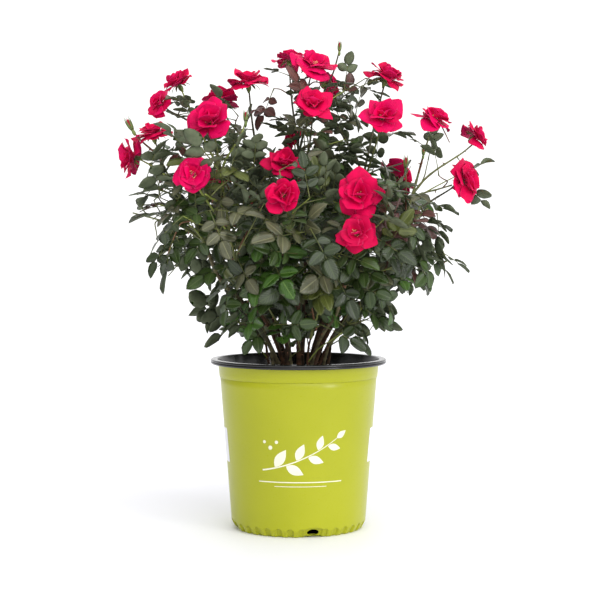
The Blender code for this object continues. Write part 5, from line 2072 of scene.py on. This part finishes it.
# %% Whorls
# Each whorl from the outside in: petals, length, tilt at the root and at the end in degrees,
# half width, how pointed, hollow at the root, roll at the end, ruffle, claw width.
WHORLS = (
    (5, 1.15, 18.0, -14.0, 0.57, 0.40, 0.6, 2.8, 0.065, 0.22),
    (5, 0.99, 34.0, 6.0, 0.52, 0.38, 1.0, 2.4, 0.075, 0.24),
    (4, 0.78, 54.0, 34.0, 0.50, 0.30, 1.8, 1.4, 0.070, 0.26),
    (3, 0.58, 70.0, 70.0, 0.42, 0.26, 2.8, 0.8, 0.060, 0.30),
)
PETAL_ROOT = 0.07
PETAL_HEIGHT = -0.16
PETAL_RISE = 0.04
PETAL_THICKNESS = 0.0006
# How much nearer to the axis each inner whorl starts, as a share.
ROOT_STEP = 0.12
# Most flowers are open. A few are cups, with every petal tilted up by as much as this, in
# degrees: its root by a share of that, and each inner whorl by a little less.
OPEN_TILT = -9.0
CUP_TILT = 46.0
CUP_POWER = 2.2
CUP_ROOT = 0.6
CUP_STEP = 0.2
# The older a flower, the more rolled and pointed its petals, by a factor between these.
AGES = (0.55, 1.45)
# How petals differ: in tilts in degrees, in turn and twist in radians, and by factors.
START_UNEVEN = 7.0
END_UNEVEN = 20.0
TURN_UNEVEN = 0.17
TWIST_UNEVEN = 0.34
FACTORS = {"length": (0.76, 1.04), "half": (0.80, 1.14), "point": (0.7, 1.25),
           "hollow": (0.6, 1.4), "roll": (0.5, 1.3), "ruffle": (0.5, 1.6)}
LEAST_BEND = 0.02
PETAL_SEED, STAMEN_SEED, HIP_SEED, AGE_SEED = 7, 8, 9, 11


def uneven_petals(rng, total):
    """What differs between any two petals: their twist and the phase of their ruffle."""
    return {"twist": rng.normal(0.0, TWIST_UNEVEN, total), "phase": rng.uniform(*ANY_TURN, total),
            "taper": np.zeros(total)}


def whorl_petals(frames, row, level, rng):
    """The specification of one whorl's petals on every flower, each petal a little different."""
    count, length, start, end, half, point, hollow, roll, ruffle, claw = row
    heads = len(frames["half"])
    flower = np.repeat(np.arange(heads), count)
    total = len(flower)
    cupped = (OPEN_TILT + CUP_TILT * frames["cup"])[flower] * (1.0 - CUP_STEP * level)
    first = rng.uniform(0.0, 0.5, heads)[flower] + 0.5 * level
    even_turn = 2 * math.pi * (np.tile(np.arange(count), heads) + first) / count
    age = frames["age"][flower]
    whole = {"length": length, "half": half, "point": point * age, "hollow": hollow,
             "roll": roll * age, "ruffle": ruffle}
    spec = {
        "turn": even_turn + rng.normal(0.0, TURN_UNEVEN, total),
        "start": np.radians(start + CUP_ROOT * cupped + rng.normal(0.0, START_UNEVEN, total)),
        "end": np.radians(end + cupped + rng.normal(0.0, END_UNEVEN, total)),
        **{key: whole[key] * rng.uniform(*span, total) for key, span in FACTORS.items()},
        "claw": np.full(total, claw),
        "root": np.full(total, PETAL_ROOT * (1.0 - ROOT_STEP * level)),
        "height": np.full(total, PETAL_HEIGHT + PETAL_RISE * level),
        **uneven_petals(rng, total),
    }
    straight = np.abs(spec["end"] - spec["start"]) < LEAST_BEND
    spec["end"] = np.where(straight, spec["start"] - LEAST_BEND, spec["end"])
    return flower, spec


rng = dice(AGE_SEED)
flowers["cup"] = rng.uniform(0.0, 1.0, len(flowers["half"])) ** CUP_POWER
flowers["age"] = rng.uniform(*AGES, len(flowers["half"]))
print("petals of a flower", sum(row[0] for row in WHORLS))

# %% Petal finishes
RIDGES = 95.0
RIDGE_DEPTH = 0.0002
PETAL_PATCHES = 70.0
ROOT_FADE = (0.02, 0.30)
# Between these distances from a petal's midline its rim takes a painted highlight, pale pink mixed
# in by this share.
RIM = (0.44, 0.50)
HIGHLIGHT_SHARE = 0.34
HIGHLIGHT_PINK = (255, 96, 150)
SHEEN_COLOUR = (255, 110, 165)
PETAL_SHADE = 0.84


def petal_finish(name, root, tip, rough):
    """A petal's velvet: paler at its root, with a painted highlight along its very rims, and fine
    ridges that fan out along it."""
    material, tree, shader = new_finish(name, rough, 0.10)
    shader.inputs["Sheen Weight"].default_value = 0.12
    shader.inputs["Sheen Roughness"].default_value = 0.4
    shader.inputs["Sheen Tint"].default_value = linear(SHEEN_COLOUR)
    place = node(tree, "ShaderNodeTexCoord")
    split = node(tree, "ShaderNodeSeparateXYZ", {"Vector": place.outputs["UV"]})
    patches = noise(tree, place.outputs["Object"], PETAL_PATCHES, 3.0)
    patched = ranged(tree, patches, NOISE_RANGE, FULL)
    colour = mix(tree, patched, linear(PETAL_SHADE * np.array(tip)), linear(tip))
    colour = mix(tree, ranged(tree, split.outputs["Y"], ROOT_FADE, FULL), linear(root), colour)
    away = maths(tree, "ABSOLUTE", maths(tree, "SUBTRACT", split.outputs["X"], 0.5))
    # The pale pink mixed in near the rims is a painted highlight.
    pale = ranged(tree, away, RIM, (0.0, HIGHLIGHT_SHARE))
    colour = mix(tree, pale, colour, linear(HIGHLIGHT_PINK))
    tree.links.new(colour, shader.inputs["Base Color"])
    wave = maths(tree, "SINE", maths(tree, "MULTIPLY", split.outputs["X"], RIDGES))
    add_bump(tree, shader, wave, Distance=RIDGE_DEPTH, Strength=0.35)
    nap = ranged(tree, patches, NOISE_RANGE, (rough - 0.06, rough + 0.06))
    tree.links.new(nap, shader.inputs["Roughness"])
    return material


petal_bright = petal_finish("petal_bright", (236, 124, 162), (238, 2, 94), 0.54)
petal_mid = petal_finish("petal_mid", (226, 94, 136), (232, 2, 82), 0.56)
petal_deep = petal_finish("petal_deep", (204, 60, 100), (216, 2, 74), 0.58)
# The back skin is paler and pinker than the fronts: partly its own colour, partly painted light
# that stands in for light shining through the petal.
petal_back = petal_finish("petal_back", (224, 114, 150), (230, 24, 102), 0.64)
PETAL_FINISHES = [petal_bright, petal_mid, petal_deep, petal_back]
BACK = PETAL_FINISHES.index(petal_back)
print("petal finishes", len(PETAL_FINISHES))

# %% Petals
# The shares of bright, middling and deep flowers, and of petals a step deeper than theirs.
TINT_SHARES = (0.50, 0.36, 0.14)
DEEPER_PETALS = 0.18

rng = dice(PETAL_SEED)
flower_tint = rng.choice(BACK, len(flowers["half"]), p=TINT_SHARES)
body = Gathering()
for level, row in enumerate(WHORLS):
    flower, spec = whorl_petals(flowers, row, level, rng)
    front = petal_surface(chosen(flowers, flower), spec)
    deeper = rng.random(len(flower)) < DEEPER_PETALS
    tints = np.minimum(flower_tint[flower] + deeper, BACK - 1)
    body.add_sheets(front, PETAL_THICKNESS, tints, BACK, uv=petal_map)
body.piece("petals", PETAL_FINISHES, foliage_nodes)

# %% [markdown]
# ## Hearts, hips and sepals
# In the middle of each flower stand short stamens with pale tips. Below it is the green hip,
# and five narrow sepals that hang back once the flower is open. Sepals are petals in all but
# colour, so they use the petal's formula with a narrow, long set of numbers. A bud is the same
# five sepals standing round a furled tip.

# %% Stamens
STAMENS = 24
STAMEN_SIDES = 5
# A stamen's rings: a thread that swells to a tip.
STAMEN_RADII = np.array((0.00025, 0.00022, 0.00022, 0.00085, 0.00014))
STAMEN_RISE = np.array((0.0, 0.35, 0.72, 0.88, 1.0))
# Shares of half a flower's width: a stamen's length beyond its stump, and where its foot stands.
STAMEN_LENGTH = (0.16, 0.30)
STUMP = 0.10
STAMEN_FOOT = 0.05
# How far stamens lean out; the power sets more of them further out.
STAMEN_SPREAD = (0.05, 0.75)
SPREAD_POWER = 0.7

stamen_gold = mottled("stamen_gold", (222, 160, 120), (250, 216, 170), 400.0, 2000.0,
                      (0.6, 0.8), 0.0001, 0.2)

rng = dice(STAMEN_SEED)
which = np.repeat(np.arange(len(flowers["half"])), STAMENS)
frames = chosen(flowers, which)
turn = (np.tile(np.arange(STAMENS), len(flowers["half"])) * LEAF_TURN)[:, None]
lean = (rng.uniform(*STAMEN_SPREAD, len(which)) ** SPREAD_POWER)[:, None]
outward = frames["x"] * np.cos(turn) + frames["y"] * np.sin(turn)
way = unit(outward * lean + frames["z"])
length = rng.uniform(*STAMEN_LENGTH, len(which))[:, None]
half = frames["half"][:, None]
foot = frames["place"] + half * (STAMEN_FOOT * outward * lean + PETAL_HEIGHT * frames["z"])
lines = foot[:, None] + (half * (STUMP + length))[:, None] * STAMEN_RISE[:, None] * way[:, None]
body = Gathering()
body.add_tubes(lines, STAMEN_RADII, STAMEN_SIDES, 0)
body.piece("stamens", [stamen_gold], foliage_nodes)

# %% Sepals
SEPALS = 5
# The sepals of an open flower and of a bud: length, tilts at the root and at the end, half
# width, hollow, how pointed, ruffle, claw width, taper, and how far out and high they start.
SEPAL = (0.60, 4.0, -62.0, 0.100, 3.3, 0.30, 0.010, 0.80, 0.45, 0.08, -0.14)
BUD_SEPAL = (3.20, 76.0, 101.0, 0.50, 1.6, 0.20, 0.020, 0.75, 1.10, 0.36, -1.00)
# How sepals differ, and how much of a petal's twist they have.
SEPAL_TURN = 0.06
SEPAL_TILTS = (1.5, 4.0)
SEPAL_LENGTHS = (0.85, 1.04)
SEPAL_TWIST = 0.1
SEPAL_THICKNESS = 0.8 * PETAL_THICKNESS


def sepal_surface(frames, row, rng):
    """Grids of points for five sepals on each flower or bud, in the petal's own terms."""
    length, start, end, half, hollow, point, ruffle, claw, taper, root, height = row
    heads = len(frames["half"])
    which = np.repeat(np.arange(heads), SEPALS)
    total = len(which)
    even_turn = 2 * math.pi * np.tile(np.arange(SEPALS), heads) / SEPALS
    same = {"half": half, "hollow": hollow, "point": point, "roll": 0.0, "ruffle": ruffle,
            "claw": claw, "root": root, "height": height}
    spec = {
        "turn": even_turn + rng.normal(0.0, SEPAL_TURN, total),
        "start": np.radians(start + rng.normal(0.0, SEPAL_TILTS[0], total)),
        "end": np.radians(end + rng.normal(0.0, SEPAL_TILTS[1], total)),
        "length": length * rng.uniform(*SEPAL_LENGTHS, total),
        **{key: np.full(total, value) for key, value in same.items()},
        **uneven_petals(rng, total),
    }
    spec["twist"] = SEPAL_TWIST * spec["twist"]
    spec["taper"] = np.full(total, taper)
    return petal_surface(chosen(frames, which), spec)


print("sepals", SEPALS * (len(flowers["half"]) + len(buds["half"])))

# %% Hips and buds
# Rings of a hip along its flower's axis, in halves of its width, and their radii in metres.
HIP_RUN = np.linspace(-0.58, -0.08, 9)
HIP_RADII = 0.0036 * np.array((0.36, 0.50, 0.80, 1.0, 1.05, 0.95, 0.80, 0.95, 1.1))
HIP_SIDES = 12
# Rings of a bud along its axis, in whole widths of it, and their radii in halves of it.
BUD_RUN = np.array((-1.20, -1.02, -0.84, -0.66, -0.46, -0.22, 0.04, 0.32, 0.54, 0.70, 0.78))
BUD_RADII = np.array((0.24, 0.36, 0.42, 0.32, 0.36, 0.45, 0.47, 0.40, 0.27, 0.12, 0.03))
BUD_SIDES = 15
# The seams of a furled bud: their turn and height, and where they start.
BUD_TWIST = 1.6
BUD_FURL = 0.10
FURLED_FROM = -0.5
GREEN_ROWS = 4

hip_green = mottled("hip_green", (84, 106, 46), (124, 142, 70), 120.0, 1200.0, (0.45, 0.6), 0.0001)
sepal_green = mottled("sepal_green", (80, 98, 48), (128, 142, 78), 120.0, 1200.0,
                      (0.5, 0.7), 0.0002)
bud_red = mottled("bud_red", (150, 12, 48), (196, 26, 66), 160.0, 1400.0, (0.5, 0.6), 0.0001, 0.2)


def axis_lines(frames, run):
    """A line along each flower's or bud's axis, through shares of half its width."""
    along = (frames["half"][:, None] * run)[..., None] * frames["z"][:, None]
    return frames["place"][:, None] + along


rng = dice(HIP_SEED)
body = Gathering()
body.add_tubes(axis_lines(flowers, HIP_RUN), HIP_RADII, HIP_SIDES, 0)
body.add_sheets(sepal_surface(flowers, SEPAL, rng), SEPAL_THICKNESS, 1, 1, uv=petal_map)
furl = BUD_FURL * np.abs(np.sin(1.5 * all_round(BUD_SIDES)[None] + BUD_TWIST * BUD_RUN[:, None]))
seams = 1.0 + furl * (BUD_RUN > FURLED_FROM)[:, None]
bud_rings = buds["half"][:, None, None] * BUD_RADII[None, :, None] * seams[None]
points, walls, ends = tubes(axis_lines(buds, 2 * BUD_RUN), bud_rings, BUD_SIDES)
red_from = GREEN_ROWS * BUD_SIDES
body.add(points, (walls[:red_from], 0), (walls[red_from:], 2), (ends, 0))
body.add_sheets(sepal_surface(buds, BUD_SEPAL, rng), SEPAL_THICKNESS, 1, 1, uv=petal_map)
body.piece("hips_and_buds", [hip_green, sepal_green, bud_red], foliage_nodes)

# %% [markdown]
# ## The box of the solids
# The dressed plant must stay inside the box of its solids, which is printed here.

# %% Box of the solids
print("solids", np.round(solid_box, 4).tolist())
